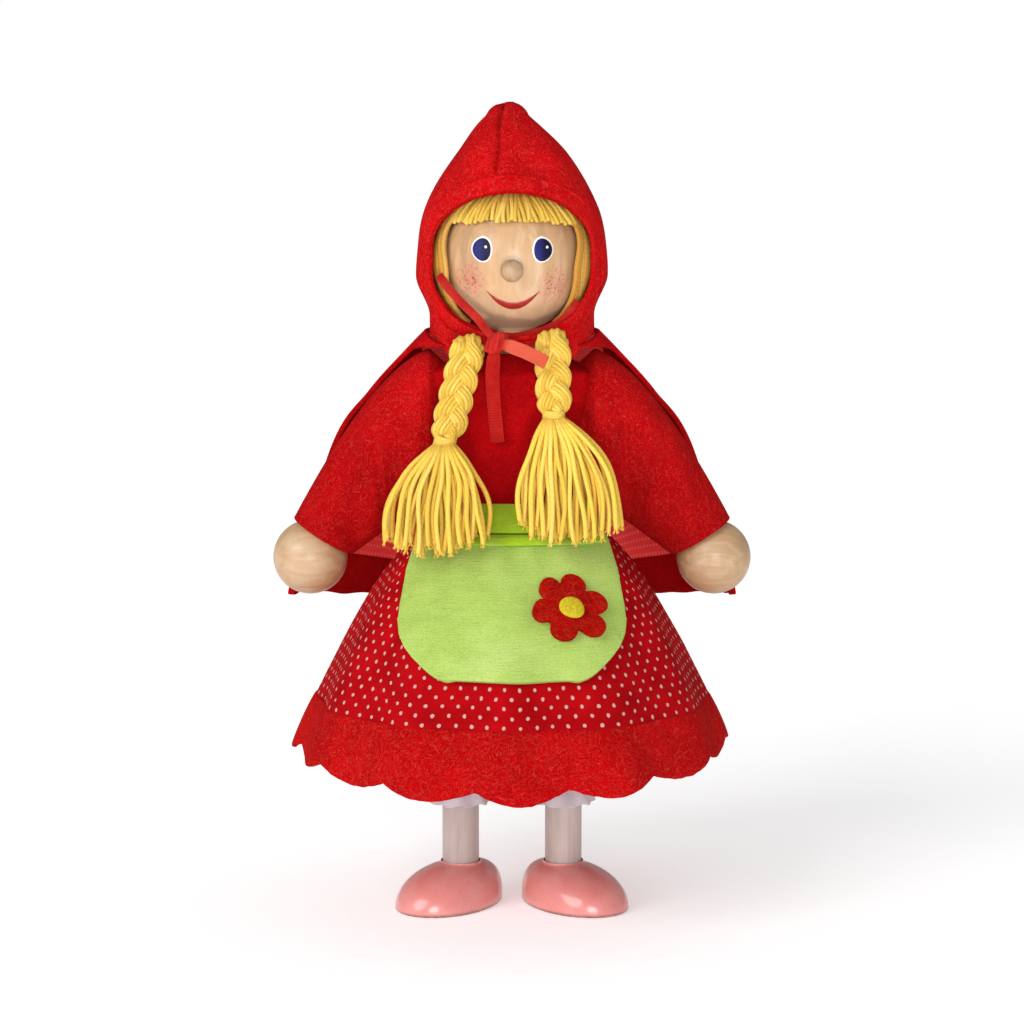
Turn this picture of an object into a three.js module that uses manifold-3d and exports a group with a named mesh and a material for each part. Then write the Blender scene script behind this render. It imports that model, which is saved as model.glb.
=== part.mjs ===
// A wooden girl doll in felt and cotton clothes, with a turning head and pinned limbs.
// Millimetres, +Z up. The doll faces -Y, its left side is +X, and its soles stand at z = 0.

import * as THREE from "three";
import { mergeVertices } from "three/addons/utils/BufferGeometryUtils.js";
import Module from "manifold-3d";

const wasm = await Module();
wasm.setup();

// Clearances
const SEAT_GAP = 0.3;
const TURN_GAP = 0.3;
const PIN_GAP = 0.3;

// Turned wooden stock
const HEAD_DIAMETER = 38;
const NOSE_DIAMETER = 6;
const NOSE_HEIGHT = 4.6;
const NOSE_DROP = 1.6;
const NOSE_PEG_DIAMETER = 3;
const NOSE_PEG_LENGTH = 3.5;
const NECK_DIAMETER = 8;
const NECK_IN_HEAD = 9;
const NECK_IN_TORSO = 12;
const ARM_DIAMETER = 8;
const LEG_DIAMETER = 10;
const HAND_DIAMETER = 20;
const WRIST_IN_HAND = 7;
const PEG_DIAMETER = 4;
const PEG_HEAD_DIAMETER = 7.2;
const PEG_HEAD_THICKNESS = 1.4;
const PEG_IN_TORSO = 9;
const PIN_DIAMETER = 2;
const TONGUE_SHARE = 0.34;

// Heights and lengths of the figure
const SHIN_LENGTH = 53;
const THIGH_LENGTH = 35;
const HIP_TO_WAIST = 22;
const WAIST_TO_SHOULDER = 33;
const SHOULDER_TO_HEAD = 32.5;
const LEG_SPACING = 28;
const UPPER_ARM_LENGTH = 27;
const FOREARM_LENGTH = 28.8;
const ARM_SPREAD = 32;
const ARM_EYE_WIDTH = 5;
const ARM_EYE_WALL = 2.2;

// Torso block, half sizes across and from front to back
const CHEST_HALF_WIDTH = 20;
const CHEST_HALF_DEPTH = 12.5;
const WAIST_HALF_WIDTH = 14.5;
const WAIST_HALF_DEPTH = 11;
const NECKLINE_HALF_WIDTH = 13;
const NECKLINE_HALF_DEPTH = 9;
const SHOULDER_RISE = 6.5;
const HIP_CLEARANCE = 8;
const TORSO_SQUARENESS = 3.2;
const COLLAR_HALF_WIDTH = 9.5;
const COLLAR_HALF_DEPTH = 8.6;

// Shoes
const SHOE_LENGTH = 34;
const SHOE_WIDTH = 23;
const SHOE_HEIGHT = 12;
const SHOE_FORWARD = 4;
const SHOE_FLOOR = 4;
const TOE_OUT = 45;

// Cloth thicknesses
const FELT = 1.4;
const COTTON = 0.9;
const VELOUR = 1.6;
const LINEN = 0.7;
const YARN_LAYER = 2.7;
const LAYER_EASE = 1.2;

// Skirt and its felt border
const HEM_RADIUS = 60;
const HEM_BELOW_KNEE = 12.2;
const SKIRT_FLARE = 0.55;
const SKIRT_GATHER = 0.03;
const SKIRT_FOLDS = 12;
const SKIRT_FOLD_DEPTH = 1.3;
const BORDER_HEIGHT = 18;
const SCALLOPS = 15;
const SCALLOP_DEPTH = 3;
const SCALLOP_START = -9.4;

// Apron and its flower
const BAND_HEIGHT = 7.6;
const BAND_RISE = 2.2;
const BAND_HALF_WIDTH = 21.5;
const APRON_LENGTH = 35;
const APRON_TOP_HALF_WIDTH = 23;
const APRON_WIDEST_HALF_WIDTH = 30;
const APRON_BOTTOM_HALF_WIDTH = 20;
const APRON_WIDEST_SHARE = 0.66;
const PETALS = 6;
const FLOWER_RADIUS = 10;
const PETAL_CUT = 0.26;
const PETAL_TURN = 8;
const FLOWER_CENTRE_RADIUS = 3.4;
const FLOWER_RIGHT = 16;
const FLOWER_BELOW_WAIST = 21.5;

// Sleeves
const ARMHOLE_TOP = 9;
const ARMHOLE_ABOVE_WAIST = 2;
const ARMHOLE_HALF_DEPTH = 11.5;
const SLEEVE_SHOULDER_OUT = 14.6;
const SLEEVE_SHOULDER_UP = 6;
const CUFF_BEFORE_HAND = 6.8;
const CUFF_HALF_WIDTH = 9.3;

// Bloomers
const BLOOMER_RADIUS = 9;
const BLOOMER_BELOW_HIP = 6;
const BLOOMER_FULL_SHARES = [0.45, 0.84];
const RUFFLE_RADIUS = 8.2;
const RUFFLE_LENGTH = 5.5;
const RUFFLE_FLOOR_GAP = 28.5;
const RUFFLE_WAVES = 7;
const RUFFLE_WAVE_DEPTH = 0.5;

// Hood and cape
const HOOD_EASE = 2.6;
const HOOD_PEAK = 43.5;
const HOOD_BASE_DROP = 21.5;
const HOOD_BASE_HALF_WIDTH = 22.4;
const HOOD_BASE_SIDE = -4;
const HOOD_BASE_BACK = 21.5;
const HOOD_FRONT = 17.5;
const HOOD_OPENING_HALF_WIDTH = 20.6;
const HOOD_OPENING_RISE = 19;
const HOOD_OPENING_SHOULDER = 9;
const HOOD_WIDEST_DROP = 2.5;
const HOOD_BASE_CURVE = 1.4;
const HOOD_FRONT_CURVE = 1.3;
const HOOD_TIP_ROUNDING = 1.5;
const HOOD_TIP_FILLING = 4.2;
const CAPE_EDGE_SHARES = [0.24, 0.5, 0.76];
const CAPE_EDGE_BACK = [2, 7.5, 12.5];
const CAPE_SPINE_BEND = 0.4;
const CAPE_CLEAR_OF_SLEEVE = 3;
const CAPE_CORNER_PAST_HAND = 4;
const CAPE_CORNER_BACK = 14.5;
const CAPE_CORNER_BELOW_WAIST = 27;
const CAPE_BACK_BELOW_WAIST = 34;
const CAPE_BACK_EASE = 4;
const CAPE_FOLDS = 5;
const CAPE_FOLD_DEPTH = 1.6;
const CAPE_HEM_SHARE = 0.075;

// Hair
const FACE_HALF_WIDTH = 18;
const FRINGE_ABOVE_CENTRE = 9.1;
const HAIR_BELOW_CENTRE = 17;
const BRAID_RADIUS = 4.7;
const BRAID_PLAITS = 5;
const BRAID_TIE_HEIGHT = 2;
const LEFT_BRAID_LENGTH = 17.7;
const LEFT_TASSEL_LENGTH = 29.5;
const RIGHT_BRAID_LENGTH = 24.7;
const RIGHT_TASSEL_LENGTH = 25.5;
const TASSEL_OUT = 15;
const TASSEL_HALF_DEPTH = 4.2;
const TASSEL_LOBES = 9;
const TASSEL_LOBE_DEPTH = 0.07;
const TASSEL_SPREAD = 1.2;
const BRAID_PLAIT_DEPTH = 0.2;
const BRAID_END_SHARE = 0.7;
const BRAID_END_LENGTH_SHARE = 0.075;
const BRAID_TIE_SHARE = 0.8;

// Sideways places of the braids and of their loose ends
const LEFT_BRAID_TOP = 10.8;
const LEFT_BRAID_END = 12.8;
const LEFT_TASSEL_END = 15.6;
const LEFT_TASSEL_HALF_WIDTH = 14;
const RIGHT_BRAID_TOP = -11.4;
const RIGHT_BRAID_END = -17.6;
const RIGHT_TASSEL_END = -22;
const RIGHT_TASSEL_HALF_WIDTH = 15.4;

// Chin ribbon, with its routes given from the lowest point of the head
const RIBBON_WIDTH = 4;
const RIBBON_THICKNESS = 0.6;
const KNOT_HALF_SIZES = [2.8, 2, 2.9];
const KNOT_CENTRE = [-4.3, -22.5, -3.3];
const RIBBON_ROUTES = {
  ribbon_strap_right: [[-20.3, -12.8, 11.5], [-17.5, -17.5, 6.5], [-12, -21.5, 1.7], [-7.6, -22.8, -1.5]],
  ribbon_strap_left: [[20, -12.3, 4], [14.5, -18.5, 1.9], [7, -22, -0.1], [-1, -22.8, -1.7]],
  ribbon_tail_left: [[-1, -24, -4.5], [3, -25.6, -4.9], [6.5, -26.2, -5.7], [9.6, -26.3, -7.3]],
  ribbon_tail_right: [[-5, -22.4, -6.7], [-5.3, -19.6, -11.5], [-5, -15.6, -18.5], [-4.2, -14.3, -28]],
};

// Facets
const BALL_SIDES = 20;
const BALL_RINGS = 12;
const STICK_SIDES = 12;
const PIN_SIDES = 8;
const FOLD_FACETS = 4;
const PETAL_FACETS = 6;
const LOBE_FACETS = 3;
const PLAIT_RINGS = 3;
const BRAID_SIDES = 10;
const TASSEL_ROWS = 5;
const RIBBON_STEPS = 8;
const SLEEVE_ROWS = 5;
const SKIRT_ROWS = 6;
const BORDER_ROWS = 2;
const APRON_COLUMNS = 14;
const APRON_ROWS = 9;
const BAND_COLUMNS = 12;
const BAND_ROWS = 2;
const FLOWER_RINGS = 2;
const HOOD_SIDES = 24;
const HOOD_ROWS = 9;
const OPENING_SEGMENTS = 8;
const CAPE_ROWS = 7;
const MERGE_DISTANCE = 1e-4;
const PAST = 2;

// Worked out from the driving dimensions
const headRadius = HEAD_DIAMETER / 2;
const hairRadius = headRadius + SEAT_GAP + YARN_LAYER;
const handRadius = HAND_DIAMETER / 2;
const armRadius = ARM_DIAMETER / 2;
const legRadius = LEG_DIAMETER / 2;
const neckRadius = NECK_DIAMETER / 2;
const pegRadius = PEG_DIAMETER / 2;
const pinRadius = PIN_DIAMETER / 2;
const kneeHeight = SHIN_LENGTH;
const hipHeight = kneeHeight + THIGH_LENGTH;
const waistHeight = hipHeight + HIP_TO_WAIST;
const shoulderHeight = waistHeight + WAIST_TO_SHOULDER;
const headHeight = shoulderHeight + SHOULDER_TO_HEAD;
const torsoTop = shoulderHeight + SHOULDER_RISE;
const hemHeight = kneeHeight - HEM_BELOW_KNEE;
const borderTop = hemHeight + BORDER_HEIGHT;
const armholeX = CHEST_HALF_WIDTH + SEAT_GAP + FELT + SEAT_GAP;
const shoulderX = armholeX + SEAT_GAP + ARM_EYE_WIDTH / 2;
const armLength = UPPER_ARM_LENGTH + FOREARM_LENGTH;
const armAngle = THREE.MathUtils.degToRad(ARM_SPREAD);
const skirtWaistHalfWidth = WAIST_HALF_WIDTH + SEAT_GAP;
const skirtWaistHalfDepth = WAIST_HALF_DEPTH + SEAT_GAP;
const skirtTop = waistHeight - SEAT_GAP;
const apronOffset = COTTON + LAYER_EASE + VELOUR / 2;
const bandTop = waistHeight + BAND_RISE;
const bandBottom = bandTop - BAND_HEIGHT;
const hoodBase = headHeight - HOOD_BASE_DROP;
const hoodPeak = headHeight + HOOD_PEAK;
const hoodWidest = headHeight - HOOD_WIDEST_DROP;
const openingTop = headHeight + HOOD_OPENING_RISE;
const hoodHalfWidth = hairRadius + HOOD_EASE + FELT;
const capeTop = hoodBase - SEAT_GAP - FELT / 2;

const mix = THREE.MathUtils.lerp;
const radians = THREE.MathUtils.degToRad;
const clamp = THREE.MathUtils.clamp;
const point = (x, y, z) => new THREE.Vector3(x, y, z);

// Solids: every piece is kept as one closed body with its faces pointing out

function closedBody(positions, triangles) {
  const loose = new THREE.BufferGeometry();
  loose.setAttribute("position", new THREE.Float32BufferAttribute(positions, 3));
  loose.setIndex(triangles);
  const merged = mergeVertices(loose, MERGE_DISTANCE);
  const spots = merged.getAttribute("position");
  const corners = [point(), point(), point()];
  const kept = [];
  let volume = 0;
  for (let first = 0; first < merged.index.count; first += 3) {
    const ids = [0, 1, 2].map((step) => merged.index.getX(first + step));
    const flat = ids[0] === ids[1] || ids[1] === ids[2] || ids[2] === ids[0];
    if (!flat) {
      ids.forEach((id, step) => corners[step].fromBufferAttribute(spots, id));
      volume += corners[0].dot(corners[1].clone().cross(corners[2]));
      kept.push(ids);
    }
  }
  const outward = kept.flatMap(([a, b, c]) => (volume > 0 ? [a, b, c] : [a, c, b]));
  merged.setIndex(outward);
  merged.computeVertexNormals();
  return merged;
}

function closedGeometry(geometry) {
  const positions = Array.from(geometry.getAttribute("position").array);
  const count = positions.length / 3;
  const triangles = geometry.index
    ? Array.from(geometry.index.array)
    : Array.from({ length: count }, (_, index) => index);
  return closedBody(positions, triangles);
}

function toSolid(geometry) {
  const body = closedGeometry(geometry);
  const mesh = new wasm.Mesh({
    numProp: 3,
    vertProperties: new Float32Array(body.getAttribute("position").array),
    triVerts: new Uint32Array(body.index.array),
  });
  return new wasm.Manifold(mesh);
}

function fromSolid(solid) {
  const mesh = solid.getMesh();
  const positions = [];
  for (let vertex = 0; vertex < mesh.numVert; vertex += 1) {
    const start = vertex * mesh.numProp;
    positions.push(...mesh.vertProperties.slice(start, start + 3));
  }
  return closedBody(positions, Array.from(mesh.triVerts));
}

function join(...geometries) {
  const solids = geometries.map(toSolid);
  return fromSolid(solids.reduce((sum, next) => sum.add(next)));
}

function cut(base, ...tools) {
  const solids = tools.map(toSolid);
  return fromSolid(solids.reduce((rest, next) => rest.subtract(next), toSolid(base)));
}

function shared(...geometries) {
  const solids = geometries.map(toSolid);
  return fromSolid(solids.reduce((common, next) => common.intersect(next)));
}

function rodZ(radius, top, bottom, sides = STICK_SIDES) {
  const rod = new THREE.CylinderGeometry(radius, radius, top - bottom, sides);
  rod.rotateX(Math.PI / 2);
  return rod.translate(0, 0, (top + bottom) / 2);
}

function rodX(radius, from, to, height, sides = STICK_SIDES) {
  const rod = new THREE.CylinderGeometry(radius, radius, to - from, sides);
  rod.rotateZ(Math.PI / 2);
  return rod.translate((from + to) / 2, 0, height);
}

function blockBetween(low, high) {
  const size = high.clone().sub(low);
  const block = new THREE.BoxGeometry(size.x, size.y, size.z);
  return block.translate((low.x + high.x) / 2, (low.y + high.y) / 2, (low.z + high.z) / 2);
}

function ball(radius, height) {
  const sphere = new THREE.SphereGeometry(radius, BALL_SIDES, BALL_RINGS);
  sphere.rotateX(Math.PI / 2);
  return sphere.translate(0, 0, height);
}

function turned(profile, sides = STICK_SIDES) {
  const outline = profile.map(([radius, height]) => new THREE.Vector2(radius, height));
  const lathe = new THREE.LatheGeometry(outline, sides);
  return lathe.rotateX(Math.PI / 2);
}

// Rings of points joined into one body, capped at both ends or closed on itself
function loft(rings, closesOnItself = false) {
  const sides = rings[0].length;
  const positions = rings.flat().flatMap((spot) => spot.toArray());
  const triangles = [];
  const bands = closesOnItself ? rings.length : rings.length - 1;
  for (let band = 0; band < bands; band += 1) {
    const next = (band + 1) % rings.length;
    for (let side = 0; side < sides; side += 1) {
      const beside = (side + 1) % sides;
      const a = band * sides + side;
      const b = band * sides + beside;
      const c = next * sides + beside;
      const d = next * sides + side;
      triangles.push(a, b, c, a, c, d);
    }
  }
  if (!closesOnItself) {
    capRing(rings[0], 0, true, positions, triangles);
    capRing(rings[rings.length - 1], (rings.length - 1) * sides, false, positions, triangles);
  }
  return closedBody(positions, triangles);
}

function capRing(ring, start, reversed, positions, triangles) {
  const middle = positions.length / 3;
  const centre = ring.reduce((sum, spot) => sum.add(spot), point(0, 0, 0)).divideScalar(ring.length);
  positions.push(...centre.toArray());
  ring.forEach((_, side) => {
    const here = start + side;
    const beside = start + ((side + 1) % ring.length);
    triangles.push(middle, reversed ? beside : here, reversed ? here : beside);
  });
}

function ringOf(sides, spotAt) {
  return Array.from({ length: sides }, (_, side) => spotAt((2 * Math.PI * side) / sides));
}

function steps(count, valueAt) {
  return Array.from({ length: count + 1 }, (_, step) => valueAt(step / count));
}

// A tube of cloth: the outer rings run one way and the inner rings come back
function clothTube(sides, rows, ringSpot) {
  const outer = steps(rows, (along) => ringOf(sides, (angle) => ringSpot(angle, along, 0)));
  const inner = steps(rows, (along) => ringOf(sides, (angle) => ringSpot(angle, along, 1)));
  return loft([...outer, ...inner.reverse()], true);
}

// A piece of cloth with four edges, of even thickness about its middle surface
function clothPiece(columns, rows, thickness, surface) {
  const faceSpots = (side) =>
    steps(columns, (across) =>
      steps(rows, (along) => {
        const normal = surfaceNormal(surface, across, along);
        return surface(across, along).addScaledVector(normal, (side * thickness) / 2);
      }),
    );
  const positions = [faceSpots(1), faceSpots(-1)].flat(2).flatMap((spot) => spot.toArray());
  const stride = rows + 1;
  const under = (columns + 1) * stride;
  const triangles = [];
  for (let column = 0; column < columns; column += 1) {
    for (let row = 0; row < rows; row += 1) {
      const a = column * stride + row;
      const b = a + stride;
      triangles.push(a, b, b + 1, a, b + 1, a + 1);
      triangles.push(under + a, under + b + 1, under + b, under + a, under + a + 1, under + b + 1);
    }
  }
  const counted = (count, idAt) => Array.from({ length: count }, (_, index) => idAt(index));
  const edge = [
    ...counted(columns, (column) => column * stride),
    ...counted(rows, (row) => columns * stride + row),
    ...counted(columns, (column) => (columns - column) * stride + rows),
    ...counted(rows, (row) => rows - row),
  ];
  edge.forEach((here, index) => {
    const next = edge[(index + 1) % edge.length];
    triangles.push(next, here, under + here, next, under + here, under + next);
  });
  return closedBody(positions, triangles);
}

function surfaceNormal(surface, across, along) {
  const reach = 0.01;
  const sideways = surface(Math.min(across + reach, 1), along);
  sideways.sub(surface(Math.max(across - reach, 0), along));
  const lengthways = surface(across, Math.min(along + reach, 1));
  lengthways.sub(surface(across, Math.max(along - reach, 0)));
  return sideways.cross(lengthways).normalize();
}

// An oval whose corners fill out as its squareness grows, with angle 0 at the front
function ovalSpot(angle, halfWidth, halfDepth, squareness, height) {
  const sideways = Math.abs(Math.sin(angle)) ** squareness;
  const forwards = Math.abs(Math.cos(angle)) ** squareness;
  const reach = (sideways + forwards) ** (-1 / squareness);
  return point(halfWidth * Math.sin(angle) * reach, -halfDepth * Math.cos(angle) * reach, height);
}

// Wooden head, nose and neck

const headBottom = headHeight - headRadius;
const neckTop = headBottom + NECK_IN_HEAD;
const neckBottom = torsoTop - NECK_IN_TORSO;
const noseHeight = headHeight - NOSE_DROP;

function headShape() {
  const neckSocket = rodZ(neckRadius + SEAT_GAP, neckTop + SEAT_GAP, headBottom - PAST);
  const socketEnd = headRadius - NOSE_PEG_LENGTH - SEAT_GAP;
  const noseSocket = rodZ(NOSE_PEG_DIAMETER / 2 + SEAT_GAP, headRadius + PAST, socketEnd);
  noseSocket.rotateX(Math.PI / 2).translate(0, 0, noseHeight);
  return cut(ball(headRadius, headHeight), neckSocket, noseSocket);
}

function noseShape() {
  const radius = NOSE_DIAMETER / 2;
  const peg = NOSE_PEG_DIAMETER / 2;
  const dome = steps(5, (share) => {
    const angle = (share * Math.PI) / 2;
    return [radius * Math.cos(angle), NOSE_HEIGHT * Math.sin(angle)];
  });
  const nose = turned([[0, -NOSE_PEG_LENGTH], [peg, -NOSE_PEG_LENGTH], [peg, 0], ...dome]);
  return nose.rotateX(Math.PI / 2).translate(0, -headRadius - SEAT_GAP, noseHeight);
}

function neckShape() {
  return rodZ(neckRadius, neckTop, neckBottom + SEAT_GAP);
}

// Torso block with its hip tongue, pegs and rivet

const torsoStations = [
  [WAIST_HALF_WIDTH - SEAT_GAP, WAIST_HALF_DEPTH - SEAT_GAP, hipHeight + HIP_CLEARANCE],
  [WAIST_HALF_WIDTH, WAIST_HALF_DEPTH, waistHeight],
  [CHEST_HALF_WIDTH, CHEST_HALF_DEPTH, shoulderHeight - SHOULDER_RISE / 2],
  [CHEST_HALF_WIDTH, CHEST_HALF_DEPTH, shoulderHeight + SHOULDER_RISE / 2],
  [NECKLINE_HALF_WIDTH, NECKLINE_HALF_DEPTH, torsoTop],
];

function torsoShape() {
  const rings = torsoStations.map(([halfWidth, halfDepth, height]) =>
    ringOf(BALL_SIDES, (angle) => ovalSpot(angle, halfWidth, halfDepth, TORSO_SQUARENESS, height)),
  );
  const tongueHalf = LEG_SPACING / 2 - legRadius - TURN_GAP;
  const tongue = blockBetween(
    point(-tongueHalf, -legRadius, hipHeight - legRadius),
    point(tongueHalf, legRadius, hipHeight + HIP_CLEARANCE + PAST),
  );
  const pegDepth = CHEST_HALF_WIDTH - PEG_IN_TORSO;
  return cut(
    join(loft(rings), tongue),
    rodZ(neckRadius + TURN_GAP, torsoTop + PAST, neckBottom),
    rodX(pegRadius + SEAT_GAP, pegDepth - SEAT_GAP, CHEST_HALF_WIDTH + PAST, shoulderHeight),
    rodX(pegRadius + SEAT_GAP, -CHEST_HALF_WIDTH - PAST, SEAT_GAP - pegDepth, shoulderHeight),
    rodX(pegRadius + SEAT_GAP, -LEG_SPACING, LEG_SPACING, hipHeight),
  );
}

function shoulderPegShape(side) {
  const inner = CHEST_HALF_WIDTH - PEG_IN_TORSO;
  const neck = shoulderX + ARM_EYE_WIDTH / 2 + SEAT_GAP;
  const end = neck + PEG_HEAD_THICKNESS;
  const head = PEG_HEAD_DIAMETER / 2;
  const shank = [[0, inner], [pegRadius, inner], [pegRadius, neck]];
  const peg = turned([...shank, [head, neck], [head, end], [0, end]]);
  return peg.rotateY((side * Math.PI) / 2).translate(0, 0, shoulderHeight);
}

function hipRivetShape() {
  const neck = LEG_SPACING / 2 + legRadius + SEAT_GAP;
  const end = neck + PEG_HEAD_THICKNESS;
  const head = PEG_HEAD_DIAMETER / 2;
  const half = [[pegRadius, neck], [head, neck], [head, end], [0, end]];
  const mirrored = half.map(([radius, along]) => [radius, -along]).reverse();
  return turned([...mirrored, ...half]).rotateY(Math.PI / 2).translate(0, 0, hipHeight);
}

// Limbs hang from the origin of their own group, with every pin along their own X

function forkedLimb(radius, length) {
  const stick = rodZ(radius, 0, -length - radius);
  const rounding = join(
    blockBetween(point(-2 * radius, -2 * radius, -length), point(2 * radius, 2 * radius, PAST)),
    rodX(radius, -2 * radius, 2 * radius, -length, BALL_SIDES),
  );
  const slotHalf = TONGUE_SHARE * radius + TURN_GAP;
  const slot = blockBetween(
    point(-slotHalf, -2 * radius, -length - 2 * radius),
    point(slotHalf, 2 * radius, -length + radius + TURN_GAP),
  );
  const hole = rodX(pinRadius + PIN_GAP, -2 * radius, 2 * radius, -length, PIN_SIDES);
  return cut(shared(stick, rounding), slot, hole);
}

function tonguedLimb(radius, length) {
  const shoulder = -radius - TURN_GAP;
  const half = TONGUE_SHARE * radius;
  const blank = rodZ(radius, radius, shoulder - SEAT_GAP);
  const slab = blockBetween(point(-half, -2 * radius, -2 * radius), point(half, 2 * radius, 2 * radius));
  const rounding = join(
    blockBetween(point(-2 * radius, -2 * radius, -2 * radius), point(2 * radius, 2 * radius, 0)),
    rodX(radius, -2 * radius, 2 * radius, 0, BALL_SIDES),
  );
  const tongue = shared(blank, slab, rounding);
  const hole = rodX(pinRadius + PIN_GAP, -2 * radius, 2 * radius, 0, PIN_SIDES);
  return cut(join(rodZ(radius, shoulder, -length), tongue), hole);
}

function crossPin(radius, height) {
  return rodX(pinRadius, SEAT_GAP - radius, radius - SEAT_GAP, height, PIN_SIDES);
}

// The eye of the upper arm is bored along the doll's X, so it is turned back from the tilted arm
function upperArmShape(side) {
  const tilt = side * armAngle;
  const eyeHalf = ARM_EYE_WIDTH / 2;
  const eyeRadius = pegRadius + PIN_GAP + ARM_EYE_WALL;
  const eye = rodX(eyeRadius, -eyeHalf, eyeHalf, 0, BALL_SIDES).rotateY(tilt);
  const inside = blockBetween(
    point(-eyeHalf, -armLength, -armLength),
    point(2 * armLength, armLength, armLength),
  );
  if (side < 0) {
    inside.rotateZ(Math.PI);
  }
  inside.rotateY(tilt);
  const bore = rodX(pegRadius + PIN_GAP, -armRadius - PAST, armRadius + PAST, 0).rotateY(tilt);
  const recessFrom = side > 0 ? eyeHalf : -armLength;
  const recessTo = side > 0 ? armLength : -eyeHalf;
  const recess = rodX(PEG_HEAD_DIAMETER / 2 + SEAT_GAP, recessFrom, recessTo, 0).rotateY(tilt);
  const arm = shared(join(forkedLimb(armRadius, UPPER_ARM_LENGTH), eye), inside);
  return cut(arm, bore, recess);
}

function forearmShape() {
  return tonguedLimb(armRadius, FOREARM_LENGTH - handRadius + WRIST_IN_HAND);
}

function handShape() {
  const wristEnd = -FOREARM_LENGTH + handRadius - WRIST_IN_HAND - SEAT_GAP;
  const socket = rodZ(armRadius + SEAT_GAP, PAST - FOREARM_LENGTH + handRadius, wristEnd);
  return cut(ball(handRadius, -FOREARM_LENGTH), socket);
}

function thighShape() {
  const eye = shared(
    rodZ(legRadius, legRadius, -legRadius),
    rodX(legRadius, -2 * legRadius, 2 * legRadius, 0, BALL_SIDES),
  );
  const bore = rodX(pegRadius + PIN_GAP, -2 * legRadius, 2 * legRadius, 0);
  return cut(join(forkedLimb(legRadius, THIGH_LENGTH), eye), bore);
}

function shinShape() {
  return tonguedLimb(legRadius, kneeHeight - SHOE_FLOOR - SEAT_GAP);
}

// A half-egg shoe with a flat sole, toe towards -Y, its ankle socket on the leg's axis
function shoeShape() {
  const soleInset = 0.94;
  const roundness = 2.5;
  const toeFullness = 0.1;
  const shares = [0, 0.1, 0.26, 0.45, 0.63, 0.79, 0.91, 0.98];
  const rings = shares.map((share, index) => {
    const scale = index === 0 ? soleInset : (1 - share ** roundness) ** (1 / roundness);
    const forward = SHOE_FORWARD * (1 - share ** 2);
    return ringOf(BALL_SIDES, (angle) => {
      const swell = 1 + toeFullness * Math.cos(angle);
      const across = (SHOE_WIDTH / 2) * scale * swell * Math.sin(angle);
      const ahead = (SHOE_LENGTH / 2) * scale * Math.cos(angle);
      return point(across, -forward - ahead, SHOE_HEIGHT * share);
    });
  });
  return cut(loft(rings), rodZ(legRadius + SEAT_GAP, SHOE_HEIGHT + PAST, SHOE_FLOOR));
}

// Felt bodice over the torso block

function bodiceShape() {
  const layer = (offset) => {
    const body = torsoStations.slice(1).map(([halfWidth, halfDepth, height], index) => {
      const lift = index > 1 ? offset : 0;
      return [halfWidth + offset, halfDepth + offset, height + lift];
    });
    return [...body, [COLLAR_HALF_WIDTH, COLLAR_HALF_DEPTH, torsoTop + offset]];
  };
  const stations = [...layer(SEAT_GAP + FELT), ...layer(SEAT_GAP).reverse()];
  const rings = stations.map(([halfWidth, halfDepth, height]) =>
    ringOf(BALL_SIDES, (angle) => ovalSpot(angle, halfWidth, halfDepth, TORSO_SQUARENESS, height)),
  );
  const pegHole = rodX(pegRadius + 2 * SEAT_GAP, -armholeX - PAST, armholeX + PAST, shoulderHeight);
  return cut(loft(rings, true), pegHole);
}

// Sleeves: an oval ring slides along a rounded shoulder line and a straight underarm line

const cuffReach = armLength - CUFF_BEFORE_HAND;

function alongArm(distance, sideways) {
  const x = shoulderX + distance * Math.sin(armAngle) + sideways * Math.cos(armAngle);
  const z = shoulderHeight - distance * Math.cos(armAngle) + sideways * Math.sin(armAngle);
  return point(x, 0, z);
}

const shoulderLine = new THREE.QuadraticBezierCurve3(
  point(armholeX, 0, shoulderHeight + ARMHOLE_TOP),
  point(shoulderX + SLEEVE_SHOULDER_OUT, 0, shoulderHeight + SLEEVE_SHOULDER_UP),
  alongArm(cuffReach, CUFF_HALF_WIDTH),
);
const underarmLine = new THREE.LineCurve3(
  point(armholeX, 0, waistHeight + ARMHOLE_ABOVE_WAIST),
  alongArm(cuffReach, -CUFF_HALF_WIDTH),
);

function sleeveShape(side) {
  return clothTube(STICK_SIDES, SLEEVE_ROWS, (angle, along, layer) => {
    const top = shoulderLine.getPoint(along);
    const under = underarmLine.getPoint(along);
    const centre = top.clone().add(under).divideScalar(2);
    const half = top.sub(centre);
    const inset = layer * FELT;
    half.setLength(half.length() - inset);
    const depth = mix(ARMHOLE_HALF_DEPTH, CUFF_HALF_WIDTH, along) - inset;
    const spot = centre.addScaledVector(half, Math.cos(angle));
    return point(side * spot.x, depth * Math.sin(angle), spot.z);
  });
}

// Skirt: an oval waist opening out to a round hem, with folds that deepen downwards

function skirtRadius(angle, height) {
  const drop = clamp((skirtTop - height) / (skirtTop - hemHeight), 0, 1);
  const flare = (share) => (share + SKIRT_GATHER) ** SKIRT_FLARE;
  const spread = (flare(drop) - flare(0)) / (flare(1) - flare(0));
  const halfWidth = mix(skirtWaistHalfWidth, HEM_RADIUS, spread);
  const halfDepth = mix(skirtWaistHalfDepth, HEM_RADIUS, spread);
  const squareness = mix(TORSO_SQUARENESS, 2, spread);
  const sideways = Math.abs(Math.sin(angle) / halfWidth) ** squareness;
  const forwards = Math.abs(Math.cos(angle) / halfDepth) ** squareness;
  const oval = (sideways + forwards) ** (-1 / squareness);
  return oval + SKIRT_FOLD_DEPTH * drop * Math.cos(SKIRT_FOLDS * angle);
}

function onSkirt(angle, height, offset) {
  const radius = skirtRadius(angle, height) + offset;
  return point(radius * Math.sin(angle), -radius * Math.cos(angle), height);
}

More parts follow.
